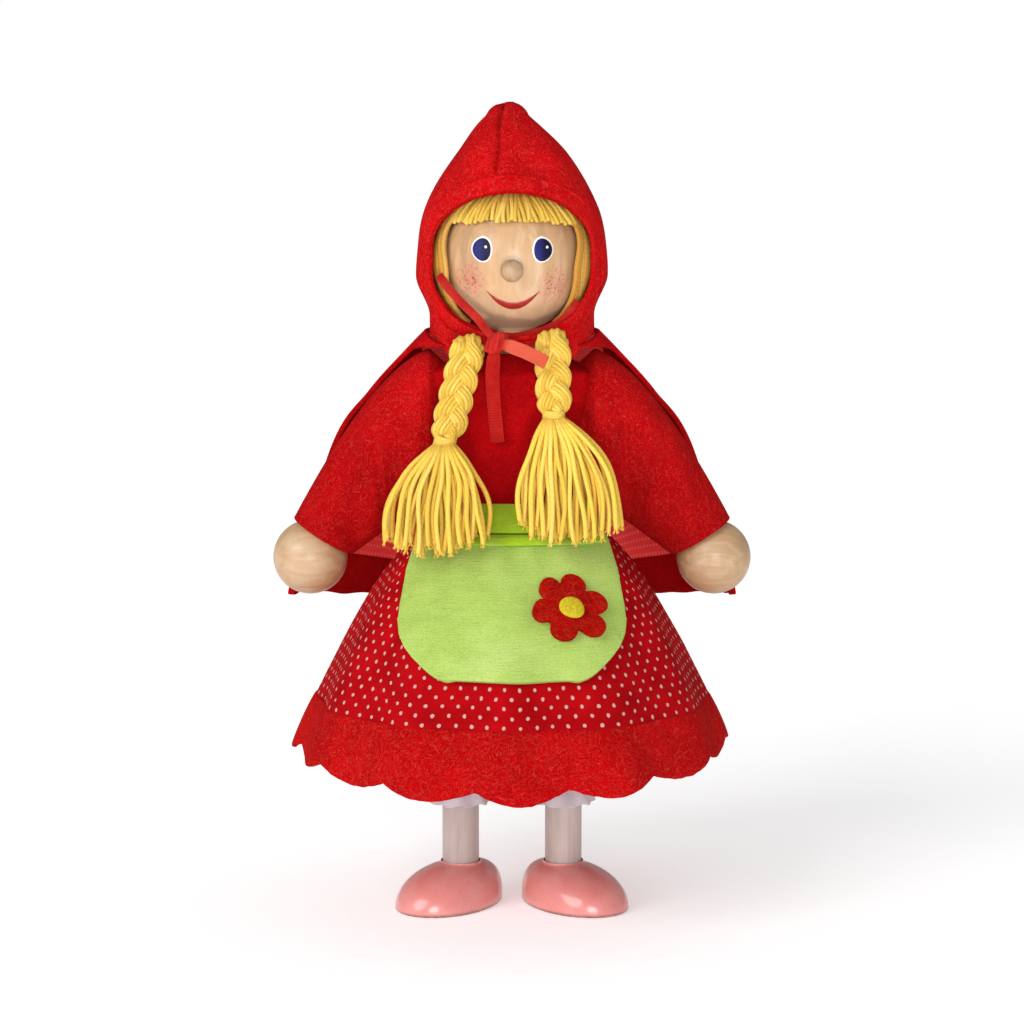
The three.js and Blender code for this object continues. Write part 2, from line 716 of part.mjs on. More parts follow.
function hemAt(angle) {
  const wave = Math.abs(Math.sin((SCALLOPS / 2) * (angle - radians(SCALLOP_START))));
  return hemHeight + SCALLOP_DEPTH * (1 - wave);
}

function skirtShape() {
  return clothTube(SKIRT_FOLDS * FOLD_FACETS, SKIRT_ROWS, (angle, along, layer) => {
    const height = mix(skirtTop, borderTop, along ** 2);
    return onSkirt(angle, height, COTTON * (1 - layer));
  });
}

function skirtBorderShape() {
  return clothTube(SCALLOPS * FOLD_FACETS, BORDER_ROWS, (angle, along, layer) => {
    const height = mix(borderTop - SEAT_GAP, hemAt(angle), along);
    return onSkirt(angle, height, FELT * (1 - layer));
  });
}

// Apron, its waistband and the felt flower lie on the skirt

function angleAcross(across, height) {
  const widestSine = 0.95;
  const radius = skirtRadius(0, height) + apronOffset;
  return Math.asin(clamp(across / radius, -widestSine, widestSine));
}

function apronHalfWidth(along) {
  if (along < APRON_WIDEST_SHARE) {
    const share = Math.sin(((along / APRON_WIDEST_SHARE) * Math.PI) / 2);
    return mix(APRON_TOP_HALF_WIDTH, APRON_WIDEST_HALF_WIDTH, share);
  }
  const past = (along - APRON_WIDEST_SHARE) / (1 - APRON_WIDEST_SHARE);
  return mix(APRON_BOTTOM_HALF_WIDTH, APRON_WIDEST_HALF_WIDTH, Math.sqrt(1 - past ** 2));
}

function apronShape() {
  const top = bandBottom - SEAT_GAP;
  return clothPiece(APRON_COLUMNS, APRON_ROWS, VELOUR, (across, along) => {
    const share = (1 - Math.cos(along * Math.PI)) / 2;
    const height = top - APRON_LENGTH * share;
    const angle = angleAcross((2 * across - 1) * apronHalfWidth(share), height);
    return onSkirt(angle, height, apronOffset);
  });
}

function apronBandShape() {
  const reach = angleAcross(BAND_HALF_WIDTH, bandBottom);
  return clothPiece(BAND_COLUMNS, BAND_ROWS, VELOUR, (across, along) => {
    const angle = (2 * across - 1) * reach;
    const upper = onSkirt(angle, skirtTop, apronOffset).setZ(bandTop);
    const lower = onSkirt(angle, bandBottom, apronOffset);
    return upper.lerp(lower, along);
  });
}

const flowerHeight = waistHeight - FLOWER_BELOW_WAIST;
const flowerAngle = angleAcross(FLOWER_RIGHT, flowerHeight);
const flowerRadius = skirtRadius(flowerAngle, flowerHeight);
const skirtSlope = Math.atan(skirtRadius(0, flowerHeight - 1) - skirtRadius(0, flowerHeight));

function onFlower(turn, reach, offset) {
  const angle = flowerAngle + (reach * Math.sin(turn)) / flowerRadius;
  const height = flowerHeight + reach * Math.cos(turn) * Math.cos(skirtSlope);
  return onSkirt(angle, height, offset);
}

function flatRound(sides, rings, thickness, bottom, reachAt) {
  const layer = (offset) =>
    steps(rings, (share) => ringOf(sides, (turn) => onFlower(turn, share * reachAt(turn), offset)));
  return loft([...layer(bottom + thickness), ...layer(bottom).reverse()]);
}

const flowerBottom = apronOffset + VELOUR / 2 + LAYER_EASE;

function flowerShape() {
  return flatRound(PETALS * PETAL_FACETS, FLOWER_RINGS, FELT, flowerBottom, (turn) => {
    const petal = Math.abs(Math.cos((PETALS / 2) * (turn - radians(PETAL_TURN))));
    return FLOWER_RADIUS * (1 - PETAL_CUT * (1 - Math.sqrt(petal)));
  });
}

function flowerCentreShape() {
  const bottom = flowerBottom + FELT + SEAT_GAP;
  return flatRound(STICK_SIDES, FLOWER_RINGS, FELT, bottom, () => FLOWER_CENTRE_RADIUS);
}

// Bloomers hang round each leg, drawn in above a ruffle

function bloomerShape() {
  const top = -BLOOMER_BELOW_HIP;
  const bottom = RUFFLE_FLOOR_GAP - hipHeight;
  const gather = bottom + RUFFLE_LENGTH;
  const drawnIn = legRadius + SEAT_GAP + LINEN;
  const stations = [
    [BLOOMER_RADIUS, top, 0],
    ...BLOOMER_FULL_SHARES.map((share) => [BLOOMER_RADIUS, mix(top, gather, share), 0]),
    [drawnIn, gather, 0],
    [RUFFLE_RADIUS, bottom, RUFFLE_WAVE_DEPTH],
  ];
  return clothTube(RUFFLE_WAVES * LOBE_FACETS, stations.length - 1, (angle, along, layer) => {
    const station = Math.round(along * (stations.length - 1));
    const [radius, height, wave] = stations[station];
    const reach = radius + wave * Math.cos(RUFFLE_WAVES * angle) - layer * LINEN;
    return point(reach * Math.sin(angle), -reach * Math.cos(angle), height);
  });
}

// Hood: a pointed shell round the hair with a face opening

function hoodSizes(height, inset) {
  const up = clamp((height - hoodWidest) / (hoodPeak - hoodWidest), 0, 1);
  const down = clamp((hoodWidest - height) / (hoodWidest - hoodBase), 0, 1);
  const taper = 1 - up ** 2;
  const drawnIn = down ** HOOD_BASE_CURVE;
  const halfWidth = mix(hoodHalfWidth * taper, HOOD_BASE_HALF_WIDTH, drawnIn);
  const back = mix(hoodHalfWidth * taper, HOOD_BASE_BACK, drawnIn);
  const slope = clamp((height - openingTop) / (hoodPeak - openingTop), 0, 1);
  const front = mix(HOOD_FRONT, 0, slope ** HOOD_FRONT_CURVE);
  return {
    halfWidth: halfWidth - inset,
    back: back - inset,
    front: front - inset,
    side: HOOD_BASE_SIDE * down,
  };
}

function hoodSpot(angle, height, inset) {
  const { halfWidth, back, front, side } = hoodSizes(height, inset);
  const reach = Math.cos(angle) > 0 ? front + side : back - side;
  return point(halfWidth * Math.sin(angle), side - reach * Math.cos(angle), height);
}

function hoodLoft(inset, bottom, top) {
  const rings = steps(HOOD_ROWS, (share) => {
    const height = mix(bottom, top, share);
    return ringOf(HOOD_SIDES, (angle) => hoodSpot(angle, height, inset));
  });
  return loft(rings);
}

function hoodShape() {
  const tip = hoodPeak - HOOD_TIP_ROUNDING;
  const outer = hoodLoft(0, hoodBase, tip);
  const inner = hoodLoft(FELT, hoodBase, tip - HOOD_TIP_FILLING);
  const mouth = blockBetween(
    point(-2 * hairRadius, -2 * hairRadius, hoodBase - PAST),
    point(2 * hairRadius, 2 * hairRadius, hoodBase + MERGE_DISTANCE),
  );
  const opening = new THREE.Shape();
  const sideTop = headHeight + HOOD_OPENING_SHOULDER;
  opening.moveTo(-HOOD_OPENING_HALF_WIDTH, hoodBase - PAST);
  opening.lineTo(HOOD_OPENING_HALF_WIDTH, hoodBase - PAST);
  opening.lineTo(HOOD_OPENING_HALF_WIDTH, sideTop);
  opening.quadraticCurveTo(HOOD_OPENING_HALF_WIDTH - PAST, openingTop, 0, openingTop);
  opening.quadraticCurveTo(PAST - HOOD_OPENING_HALF_WIDTH, openingTop, -HOOD_OPENING_HALF_WIDTH, sideTop);
  const cutter = new THREE.ExtrudeGeometry(opening, {
    depth: 2 * hairRadius,
    bevelEnabled: false,
    curveSegments: OPENING_SEGMENTS,
  });
  cutter.rotateX(Math.PI / 2);
  return cut(outer, inner, cutter, mouth);
}

// Cape: hangs from the base of the hood, over the shoulders and behind the arms

const capeCorner = alongArm(armLength, CAPE_CORNER_PAST_HAND);
capeCorner.setY(CAPE_CORNER_BACK).setZ(waistHeight - CAPE_CORNER_BELOW_WAIST);
const capeEdge = new THREE.CatmullRomCurve3([
  point(HOOD_BASE_HALF_WIDTH, HOOD_BASE_SIDE, capeTop),
  ...CAPE_EDGE_SHARES.map((share, index) =>
    shoulderLine.getPoint(share).add(point(0, CAPE_EDGE_BACK[index], CAPE_CLEAR_OF_SLEEVE)),
  ),
  capeCorner,
]);
const capeBackHeight = waistHeight - CAPE_BACK_BELOW_WAIST;
const capeBackReach = skirtRadius(Math.PI, capeBackHeight) + CAPE_BACK_EASE;
const capeSpine = new THREE.QuadraticBezierCurve3(
  point(0, HOOD_BASE_BACK, capeTop),
  point(0, HOOD_BASE_BACK + CAPE_BACK_EASE, mix(capeTop, capeBackHeight, CAPE_SPINE_BEND)),
  point(0, capeBackReach, capeBackHeight),
);

function capeSpot(across, along) {
  const turn = (across - 0.5) * Math.PI;
  const edge = capeEdge.getPoint(along);
  const spine = capeSpine.getPoint(along);
  const fold = CAPE_FOLD_DEPTH * along * Math.cos(2 * CAPE_FOLDS * turn) * Math.cos(turn);
  const x = edge.x * Math.sin(turn);
  const y = mix(edge.y, spine.y, Math.cos(turn)) + fold;
  return point(x, y, mix(spine.z, edge.z, Math.sin(turn) ** 2));
}

function capeShape() {
  const end = 1 - CAPE_HEM_SHARE;
  const columns = CAPE_FOLDS * FOLD_FACETS;
  return clothPiece(columns, CAPE_ROWS, FELT, (across, along) => capeSpot(across, along * end));
}

function capeHemShape() {
  const start = 1 - CAPE_HEM_SHARE + SEAT_GAP / (capeTop - capeBackHeight);
  const columns = CAPE_FOLDS * FOLD_FACETS;
  return clothPiece(columns, 1, FELT, (across, along) => capeSpot(across, mix(start, 1, along)));
}

// Hair: a layer of yarn on the head, a fringe, and two braids with loose ends

function hairLayer() {
  const neckRoom = blockBetween(
    point(-2 * hairRadius, -2 * hairRadius, headHeight - 2 * hairRadius),
    point(2 * hairRadius, 2 * hairRadius, headHeight - HAIR_BELOW_CENTRE),
  );
  return cut(ball(hairRadius, headHeight), ball(headRadius + SEAT_GAP, headHeight), neckRoom);
}

function faceRoom(halfWidth, back, bottom) {
  return blockBetween(
    point(-halfWidth, -2 * hairRadius, bottom),
    point(halfWidth, back, headHeight + 2 * hairRadius),
  );
}

function wigShape() {
  return cut(hairLayer(), faceRoom(FACE_HALF_WIDTH, 0, headHeight - 2 * hairRadius));
}

function fringeShape() {
  const fringeBottom = headHeight + FRINGE_ABOVE_CENTRE;
  return shared(hairLayer(), faceRoom(FACE_HALF_WIDTH - SEAT_GAP, -SEAT_GAP, fringeBottom));
}

const bodiceFront = -CHEST_HALF_DEPTH - SEAT_GAP - FELT;
const braidDepth = bodiceFront - BRAID_RADIUS;
const braidTop = hoodBase - SEAT_GAP;
const tasselDepth = bodiceFront - TASSEL_OUT;
const braidPlaces = {
  left: {
    top: point(LEFT_BRAID_TOP, braidDepth, braidTop),
    end: point(LEFT_BRAID_END, braidDepth, braidTop - LEFT_BRAID_LENGTH),
    tassel: point(LEFT_TASSEL_END, tasselDepth, braidTop - LEFT_BRAID_LENGTH - LEFT_TASSEL_LENGTH),
    tasselHalfWidth: LEFT_TASSEL_HALF_WIDTH,
  },
  right: {
    top: point(RIGHT_BRAID_TOP, braidDepth, braidTop),
    end: point(RIGHT_BRAID_END, braidDepth, braidTop - RIGHT_BRAID_LENGTH),
    tassel: point(RIGHT_TASSEL_END, tasselDepth, braidTop - RIGHT_BRAID_LENGTH - RIGHT_TASSEL_LENGTH),
    tasselHalfWidth: RIGHT_TASSEL_HALF_WIDTH,
  },
};

function ovalAbout(centre, sides, halfWidth, halfDepth, scaleAt) {
  return ringOf(sides, (angle) => {
    const scale = scaleAt(angle);
    const spot = point(halfWidth * scale * Math.sin(angle), -halfDepth * scale * Math.cos(angle), 0);
    return spot.add(centre);
  });
}

function braidShape({ top, end }) {
  const rings = steps(BRAID_PLAITS * PLAIT_RINGS, (share) => {
    const centre = top.clone().lerp(end, share);
    const hollow = (1 - Math.cos(2 * Math.PI * BRAID_PLAITS * share)) / 2;
    const fromEnd = Math.min(share, 1 - share) / BRAID_END_LENGTH_SHARE;
    const taper = mix(BRAID_END_SHARE, 1, Math.min(1, fromEnd));
    const radius = BRAID_RADIUS * (1 - BRAID_PLAIT_DEPTH * hollow) * taper;
    return ovalAbout(centre, BRAID_SIDES, radius, radius, () => 1);
  });
  return loft(rings);
}

function braidTieShape({ end }) {
  const outer = BRAID_RADIUS * BRAID_TIE_SHARE;
  const tie = turned([[0, 0], [outer, 0], [outer, -BRAID_TIE_HEIGHT], [0, -BRAID_TIE_HEIGHT]]);
  return tie.translate(end.x, end.y, end.z - SEAT_GAP);
}

function tasselShape({ end, tassel, tasselHalfWidth }) {
  const start = end.clone().setZ(end.z - BRAID_TIE_HEIGHT - 2 * SEAT_GAP);
  const tied = BRAID_RADIUS * BRAID_TIE_SHARE;
  const rings = steps(TASSEL_ROWS, (share) => {
    const centre = start.clone().lerp(tassel, share);
    const halfWidth = mix(tied, tasselHalfWidth, share ** TASSEL_SPREAD);
    const halfDepth = mix(tied, TASSEL_HALF_DEPTH, share);
    const lobeAt = (angle) => 1 - TASSEL_LOBE_DEPTH * share * (1 + Math.cos(TASSEL_LOBES * angle));
    return ovalAbout(centre, TASSEL_LOBES * LOBE_FACETS, halfWidth, halfDepth, lobeAt);
  });
  return loft(rings);
}

// Chin ribbon: two straps from the hood, a knot and two tails

const underChin = ([right, back, up]) => point(right, back, headBottom + up);

function ribbonShape(route) {
  const path = new THREE.CatmullRomCurve3(route.map(underChin));
  const halfWidth = RIBBON_WIDTH / 2;
  const halfThickness = RIBBON_THICKNESS / 2;
  const corner = halfThickness / 2;
  const quarter = [[halfWidth, halfThickness - corner], [halfWidth - corner, halfThickness]];
  const section = [
    ...quarter,
    ...quarter.map(([across, up]) => [-across, up]).reverse(),
    ...quarter.map(([across, up]) => [-across, -up]),
    ...quarter.map(([across, up]) => [across, -up]).reverse(),
  ];
  const rings = steps(RIBBON_STEPS, (share) => {
    const centre = path.getPoint(share);
    const ahead = path.getTangent(share);
    const across = ahead.clone().cross(point(0, 1, 0)).normalize();
    const up = across.clone().cross(ahead).normalize();
    return section.map(([wide, thick]) => {
      const spot = centre.clone().addScaledVector(across, wide);
      return spot.addScaledVector(up, thick);
    });
  });
  return loft(rings);
}

function knotShape() {
  const knot = new THREE.SphereGeometry(1, PIN_SIDES, PIN_SIDES);
  return knot.scale(...KNOT_HALF_SIZES).translate(...underChin(KNOT_CENTRE).toArray());
}

// Materials

const material = (color, roughness) => new THREE.MeshStandardMaterial({ color, roughness, metalness: 0 });
const maple = () => material(0xe3bf94, 0.45);
const redFelt = () => material(0xb3121c, 0.95);
const metalPin = () => new THREE.MeshStandardMaterial({ color: 0xb8b8b4, roughness: 0.35, metalness: 0.9 });
const dottedCotton = () => material(0x8e1020, 0.8);
const limeVelour = () => material(0x9fc52f, 0.9);
const yellowFelt = () => material(0xf2c21c, 0.95);
const whiteLinen = () => material(0xeceaf0, 0.85);
const whiteStain = () => material(0xe9e4dc, 0.55);
const pinkPaint = () => material(0xe0708a, 0.2);
const goldenYarn = () => material(0xf0c040, 0.9);
const redSatin = () => material(0xc01822, 0.35);

// Assembly

const doll = new THREE.Group();

function place(parent, name, geometry, surface) {
  const mesh = new THREE.Mesh(closedGeometry(geometry), surface);
  mesh.name = name;
  parent.add(mesh);
}

place(doll, "head", headShape(), maple());
place(doll, "nose", noseShape(), maple());
place(doll, "neck_dowel", neckShape(), maple());
place(doll, "wig", wigShape(), goldenYarn());
place(doll, "fringe", fringeShape(), goldenYarn());
place(doll, "torso_block", torsoShape(), maple());
place(doll, "hip_rivet", hipRivetShape(), metalPin());
place(doll, "bodice", bodiceShape(), redFelt());
place(doll, "skirt", skirtShape(), dottedCotton());
place(doll, "skirt_border", skirtBorderShape(), redFelt());
place(doll, "apron", apronShape(), limeVelour());
place(doll, "apron_band", apronBandShape(), limeVelour());
place(doll, "flower", flowerShape(), redFelt());
place(doll, "flower_centre", flowerCentreShape(), yellowFelt());
place(doll, "hood", hoodShape(), redFelt());
place(doll, "cape", capeShape(), redFelt());
place(doll, "cape_hem", capeHemShape(), redFelt());
place(doll, "ribbon_knot", knotShape(), redSatin());
for (const [name, route] of Object.entries(RIBBON_ROUTES)) {
  place(doll, name, ribbonShape(route), redSatin());
}

for (const [name, side] of [["left", 1], ["right", -1]]) {
  place(doll, `shoulder_peg_${name}`, shoulderPegShape(side), metalPin());
  place(doll, `sleeve_${name}`, sleeveShape(side), redFelt());
  place(doll, `braid_${name}`, braidShape(braidPlaces[name]), goldenYarn());
  place(doll, `braid_tie_${name}`, braidTieShape(braidPlaces[name]), goldenYarn());
  place(doll, `tassel_${name}`, tasselShape(braidPlaces[name]), goldenYarn());

  const arm = new THREE.Group();
  arm.position.set(side * shoulderX, 0, shoulderHeight);
  arm.rotation.y = -side * armAngle;
  doll.add(arm);
  place(arm, `upper_arm_${name}`, upperArmShape(side), maple());
  place(arm, `elbow_pin_${name}`, crossPin(armRadius, -UPPER_ARM_LENGTH), metalPin());
  const lowerArm = new THREE.Group();
  lowerArm.position.z = -UPPER_ARM_LENGTH;
  arm.add(lowerArm);
  place(lowerArm, `forearm_${name}`, forearmShape(), maple());
  place(lowerArm, `hand_${name}`, handShape(), maple());

  const leg = new THREE.Group();
  leg.position.set((side * LEG_SPACING) / 2, 0, hipHeight);
  doll.add(leg);
  place(leg, `thigh_${name}`, thighShape(), whiteStain());
  place(leg, `knee_pin_${name}`, crossPin(legRadius, -THIGH_LENGTH), metalPin());
  place(leg, `bloomer_${name}`, bloomerShape(), whiteLinen());
  const lowerLeg = new THREE.Group();
  lowerLeg.position.z = -THIGH_LENGTH;
  leg.add(lowerLeg);
  place(lowerLeg, `shin_${name}`, shinShape(), whiteStain());
  const foot = new THREE.Group();
  foot.position.z = -kneeHeight;
  foot.rotation.z = side * radians(TOE_OUT);
  lowerLeg.add(foot);
  place(foot, `shoe_${name}`, shoeShape(), pinkPaint());
}

export default doll;
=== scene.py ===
import math
import random

import bmesh
import bpy
from mathutils import Matrix, Vector, noise


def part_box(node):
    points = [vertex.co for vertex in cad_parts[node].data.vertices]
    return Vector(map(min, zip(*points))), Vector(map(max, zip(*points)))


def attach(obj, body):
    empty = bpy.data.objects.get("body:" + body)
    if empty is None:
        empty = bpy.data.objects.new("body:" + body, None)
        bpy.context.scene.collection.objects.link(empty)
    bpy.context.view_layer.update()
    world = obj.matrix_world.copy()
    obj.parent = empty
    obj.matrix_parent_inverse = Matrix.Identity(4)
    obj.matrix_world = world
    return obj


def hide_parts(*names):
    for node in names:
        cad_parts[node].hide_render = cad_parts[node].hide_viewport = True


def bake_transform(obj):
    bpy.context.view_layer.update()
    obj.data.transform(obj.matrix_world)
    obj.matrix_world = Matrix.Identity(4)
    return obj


bl_info = {
    "name": "Jointed wooden girl doll",
    "version": (1, 0, 0),
    "blender": (4, 5, 0),
    "location": "View3D > Sidebar > Doll",
    "description": "Dresses the packed doll with its clothes, hair, face paint and finishes",
    "category": "Object",
}

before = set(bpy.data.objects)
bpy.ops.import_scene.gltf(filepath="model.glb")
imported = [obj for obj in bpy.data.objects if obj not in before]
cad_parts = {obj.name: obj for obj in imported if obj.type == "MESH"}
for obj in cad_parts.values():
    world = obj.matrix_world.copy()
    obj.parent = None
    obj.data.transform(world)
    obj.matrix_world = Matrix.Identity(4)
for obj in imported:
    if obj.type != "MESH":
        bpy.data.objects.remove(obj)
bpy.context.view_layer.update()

# The drawing is in millimetres, and every piece is turned to metres when it is made.
MM = 0.001
SIDES = (("left", 1), ("right", -1))

HEAD_CENTRE = Vector((0, 0, 175.5))
HEAD_RADIUS = 19.0
SKIRT_TOP = 109.7
SKIRT_HEM = 40.8
BORDER_TOP = 58.6
SHOULDER_TIP = Vector((22.0, 0, 152.0))
SHOULDER_BEND = Vector((37.0, 0, 147.0))
CUFF_TOP = Vector((58.66, 0, 106.37))
UNDERARM_TOP = Vector((22.0, 0, 112.0))
CUFF_BOTTOM = Vector((42.88, 0, 96.52))
HAND_CENTRE = Vector((54.37, 0, 95.68))
HAND_RADIUS = 10.0
ARM_TILT = math.radians(32)
LEG_X = 14.0
YARN_TWIST = 6.0
DOT_SPACING = 4.83
DOT_ROW_SPACING = 2.55
THREADS_PER_DOT = 14
FULL_TURN = 2 * math.pi
# Rounding of a cut felt edge, in metres as the sheet settings are.
FELT_EDGE = 0.0003


def linear(red, green, blue):
    """A screen colour of 0 to 255 as the linear colour that a shader takes."""
    shares = (red / 255, green / 255, blue / 255)
    return tuple(s / 12.92 if s <= 0.04045 else ((s + 0.055) / 1.055) ** 2.4 for s in shares)


def mix(first, second, share):
    return first + (second - first) * share


def clamp(value):
    return max(0.0, min(1.0, value))


def ease(value):
    share = clamp(value)
    return share * share * (3 - 2 * share)


def bell(value):
    return math.exp(-value ** 2)


def around(angle, radius, z):
    """A point round the upright axis: angle from the front."""
    return Vector((radius * math.sin(angle), -radius * math.cos(angle), z))


def read_outline(outline, place):
    """The width at a place on an outline of places and widths."""
    for (start, wide), (end, next_wide) in zip(outline, outline[1:]):
        if min(start, end) <= place <= max(start, end):
            return mix(wide, next_wide, (place - start) / (end - start))
    return outline[-1][1]


def length_setting(name, description, default):
    return bpy.props.FloatProperty(
        name=name, description=description, default=default, min=0.0, unit='LENGTH', precision=5
    )


def colour_setting(name, description, red, green, blue):
    return bpy.props.FloatVectorProperty(
        name=name, description=description, default=linear(red, green, blue),
        size=3, min=0.0, max=1.0, subtype='COLOR'
    )


class DollSizes(bpy.types.PropertyGroup):
    felt_thickness: length_setting("Felt", "Thickness of the felt clothes", 0.0014)
    cotton_thickness: length_setting("Cotton", "Thickness of the dotted skirt", 0.0009)
    velour_thickness: length_setting("Velour", "Thickness of the apron", 0.0016)
    linen_thickness: length_setting("Linen", "Thickness of the bloomers", 0.0007)
    ribbon_width: length_setting("Ribbon width", "Width of the hood ribbon", 0.0036)
    ribbon_thickness: length_setting("Ribbon thickness", "Thickness of the hood ribbon", 0.0006)
    yarn_diameter: length_setting("Yarn", "Diameter of one strand of hair yarn", 0.0014)
    eye_width: length_setting("Eye width", "Width of the painted eye with its rim", 0.00575)
    eye_height: length_setting("Eye height", "Height of the painted eye with its rim", 0.0070)
    mouth_width: length_setting("Mouth", "Width of the painted mouth", 0.0138)
    fringe_strands: bpy.props.IntProperty(
        name="Fringe strands", description="Strands of yarn over the forehead", default=40, min=8
    )
    tassel_strands: bpy.props.IntProperty(
        name="Tassel strands", description="Strands of yarn under each braid", default=48, min=8
    )


class DollColours(bpy.types.PropertyGroup):
    felt: colour_setting("Felt", "Red felt of the hood, cape, bodice and sleeves", 204, 10, 18)
    cotton: colour_setting("Cotton", "Ground of the dotted skirt", 190, 8, 18)
    dots: colour_setting("Dots", "Printed dots of the skirt", 236, 184, 172)
    border: colour_setting("Border", "Felt border of the skirt", 216, 8, 16)
    waistband: colour_setting("Waistband", "Lime velour of the apron's band", 172, 214, 44)
    loose_end: colour_setting("Ribbon end", "Pale end of the hood's ribbon", 226, 112, 84)
    velour: colour_setting("Velour", "Lime velour of the apron", 176, 205, 100)
    flower: colour_setting("Flower", "Felt flower on the apron", 198, 12, 12)
    flower_centre: colour_setting("Flower centre", "Felt disc of the flower", 255, 222, 44)
    # The lining's colour is partly its own lighter red and partly painted light for the shaded inside of the
    # cape.
    lining: colour_setting("Lining", "Inner face of the cape", 255, 66, 64)
    satin: colour_setting("Satin", "Ribbon of the hood", 190, 12, 16)
    yarn: colour_setting("Yarn", "Golden yarn of the hair", 246, 204, 80)
    linen: colour_setting("Linen", "Cloth of the bloomers", 236, 226, 232)
    maple: colour_setting("Maple", "Plain wood of the head and hands", 190, 152, 112)
    stain: colour_setting("Stain", "Whitened wood of the legs", 182, 164, 158)
    paint: colour_setting("Paint", "Paint of the shoes", 220, 132, 126)
    steel: colour_setting("Steel", "Pins and rivet", 150, 150, 152)
    eye: colour_setting("Eye", "Painted iris", 26, 26, 78)
    eye_rim: colour_setting("Eye rim", "Painted rim and glint of the eye", 240, 236, 230)
    lips: colour_setting("Mouth", "Painted mouth", 168, 36, 34)
    blush: colour_setting("Blush", "Dabbed colour of the cheeks", 190, 84, 80)
    floor: colour_setting("Floor", "Pale studio floor", 250, 250, 250)


def sizes():
    return bpy.context.scene.doll_sizes


def hue(name):
    """A colour setting by its name."""
    return tuple(getattr(bpy.context.scene.doll_colours, name))


def millimetres(setting):
    """A length setting, in metres, as drawing millimetres."""
    return setting / MM


class Recipe:
    """Builds the nodes of one finish on its own shader."""

    def __init__(self, name):
        self.finish = bpy.data.materials.new(name)
        self.finish.use_nodes = True
        self.tree = self.finish.node_tree
        self.shader = self.tree.nodes["Principled BSDF"]
        self.coordinates = self.tree.nodes.new("ShaderNodeTexCoord")

    def add(self, kind, settings=None, **inputs):
        node = self.tree.nodes.new("ShaderNode" + kind)
        for key, value in (settings or {}).items():
            setattr(node, key, value)
        for key, value in inputs.items():
            self.feed(node.inputs[key.replace("_", " ")], value)
        return node

    def feed(self, socket, value):
        """Link a socket to another, or set its own number."""
        if isinstance(value, bpy.types.NodeSocket):
            self.tree.links.new(value, socket)
        else:
            socket.default_value = value

    def place(self, kind="Object", scale=(1, 1, 1), shift=(0, 0, 0)):
        mapping = self.add("Mapping", Vector=self.coordinates.outputs[kind])
        mapping.inputs["Scale"].default_value = scale
        mapping.inputs["Location"].default_value = shift
        return mapping.outputs["Vector"]

    def noise(self, vector, scale, detail=3.0, roughness=0.5, distortion=0.0):
        texture = self.add(
            "TexNoise", Vector=vector, Scale=scale, Detail=detail, Roughness=roughness, Distortion=distortion
        )
        return texture.outputs["Fac"]

    def math(self, operation, first, second=None):
        node = self.add("Math", {"operation": operation})
        self.feed(node.inputs[0], first)
        if second is not None:
            self.feed(node.inputs[1], second)
        return node.outputs[0]

    def times(self, first, second):
        return self.math('MULTIPLY', first, second)

    def plus(self, first, second):
        return self.math('ADD', first, second)

    def weigh(self, *parts):
        """The sum of values, each times its weight."""
        total = None
        for value, weight in parts:
            part = value if weight == 1 else self.times(value, weight)
            total = part if total is None else self.plus(total, part)
        return total

    def centred(self, value):
        """A share of 0 to 1, counted from its middle."""
        return self.math('SUBTRACT', value, 0.5)

    def split(self, kind="UV"):
        """The axes of a coordinate, by name."""
        return self.add("SeparateXYZ", Vector=self.coordinates.outputs[kind]).outputs

    def greys(self, value):
        """A share as a grey."""
        return self.ramp(value, (0.0, (0, 0, 0)), (1.0, (1, 1, 1)))

    def weave(self, place, **settings):
        """Threads that cross, by the UV map."""
        warp = self.add("TexWave", {"bands_direction": 'X'}, Vector=place, **settings)
        weft = self.add("TexWave", {"bands_direction": 'Y'}, Vector=place, **settings)
        return self.times(warp.outputs["Fac"], weft.outputs["Fac"])

    def range(self, value, low, high, to_low=0.0, to_high=1.0):
        node = self.add("MapRange", Value=value, From_Min=low, From_Max=high, To_Min=to_low, To_Max=to_high)
        return node.outputs["Result"]

    def ramp(self, value, *stops):
        node = self.add("ValToRGB", Fac=value)
        marks = node.color_ramp.elements
        while len(marks) < len(stops):
            marks.new(0.5)
        for mark, (place, colour) in zip(marks, stops):
            mark.position = place
            mark.color = (*colour, 1.0)
        return node.outputs["Color"]

    def blend(self, share, first, second, mode='MIX'):
        node = self.add("Mix", {"data_type": 'RGBA', "blend_type": mode})
        self.feed(node.inputs[0], share)
        for socket, value in ((node.inputs[6], first), (node.inputs[7], second)):
            self.feed(socket, value if isinstance(value, bpy.types.NodeSocket) else (*value, 1.0))
        return node.outputs[2]

    def bump(self, height, strength, distance):
        node = self.add("Bump", Height=height, Strength=strength, Distance=distance)
        self.tree.links.new(node.outputs["Normal"], self.shader.inputs["Normal"])

    def shade(self, **inputs):
        """Set the shader's own sockets."""
        for key, value in inputs.items():
            colour = isinstance(value, tuple) and len(value) == 3
            self.feed(self.shader.inputs[key.replace("_", " ")], (*value, 1.0) if colour else value)
        return self.finish


def tint(colour, factor):
    """A colour made darker or lighter."""
    return tuple(min(1.0, part * factor) for part in colour)


def lean(colour, other, share):
    """A colour moved towards another."""
    return tuple(mix(a, b, share) for a, b in zip(colour, other))


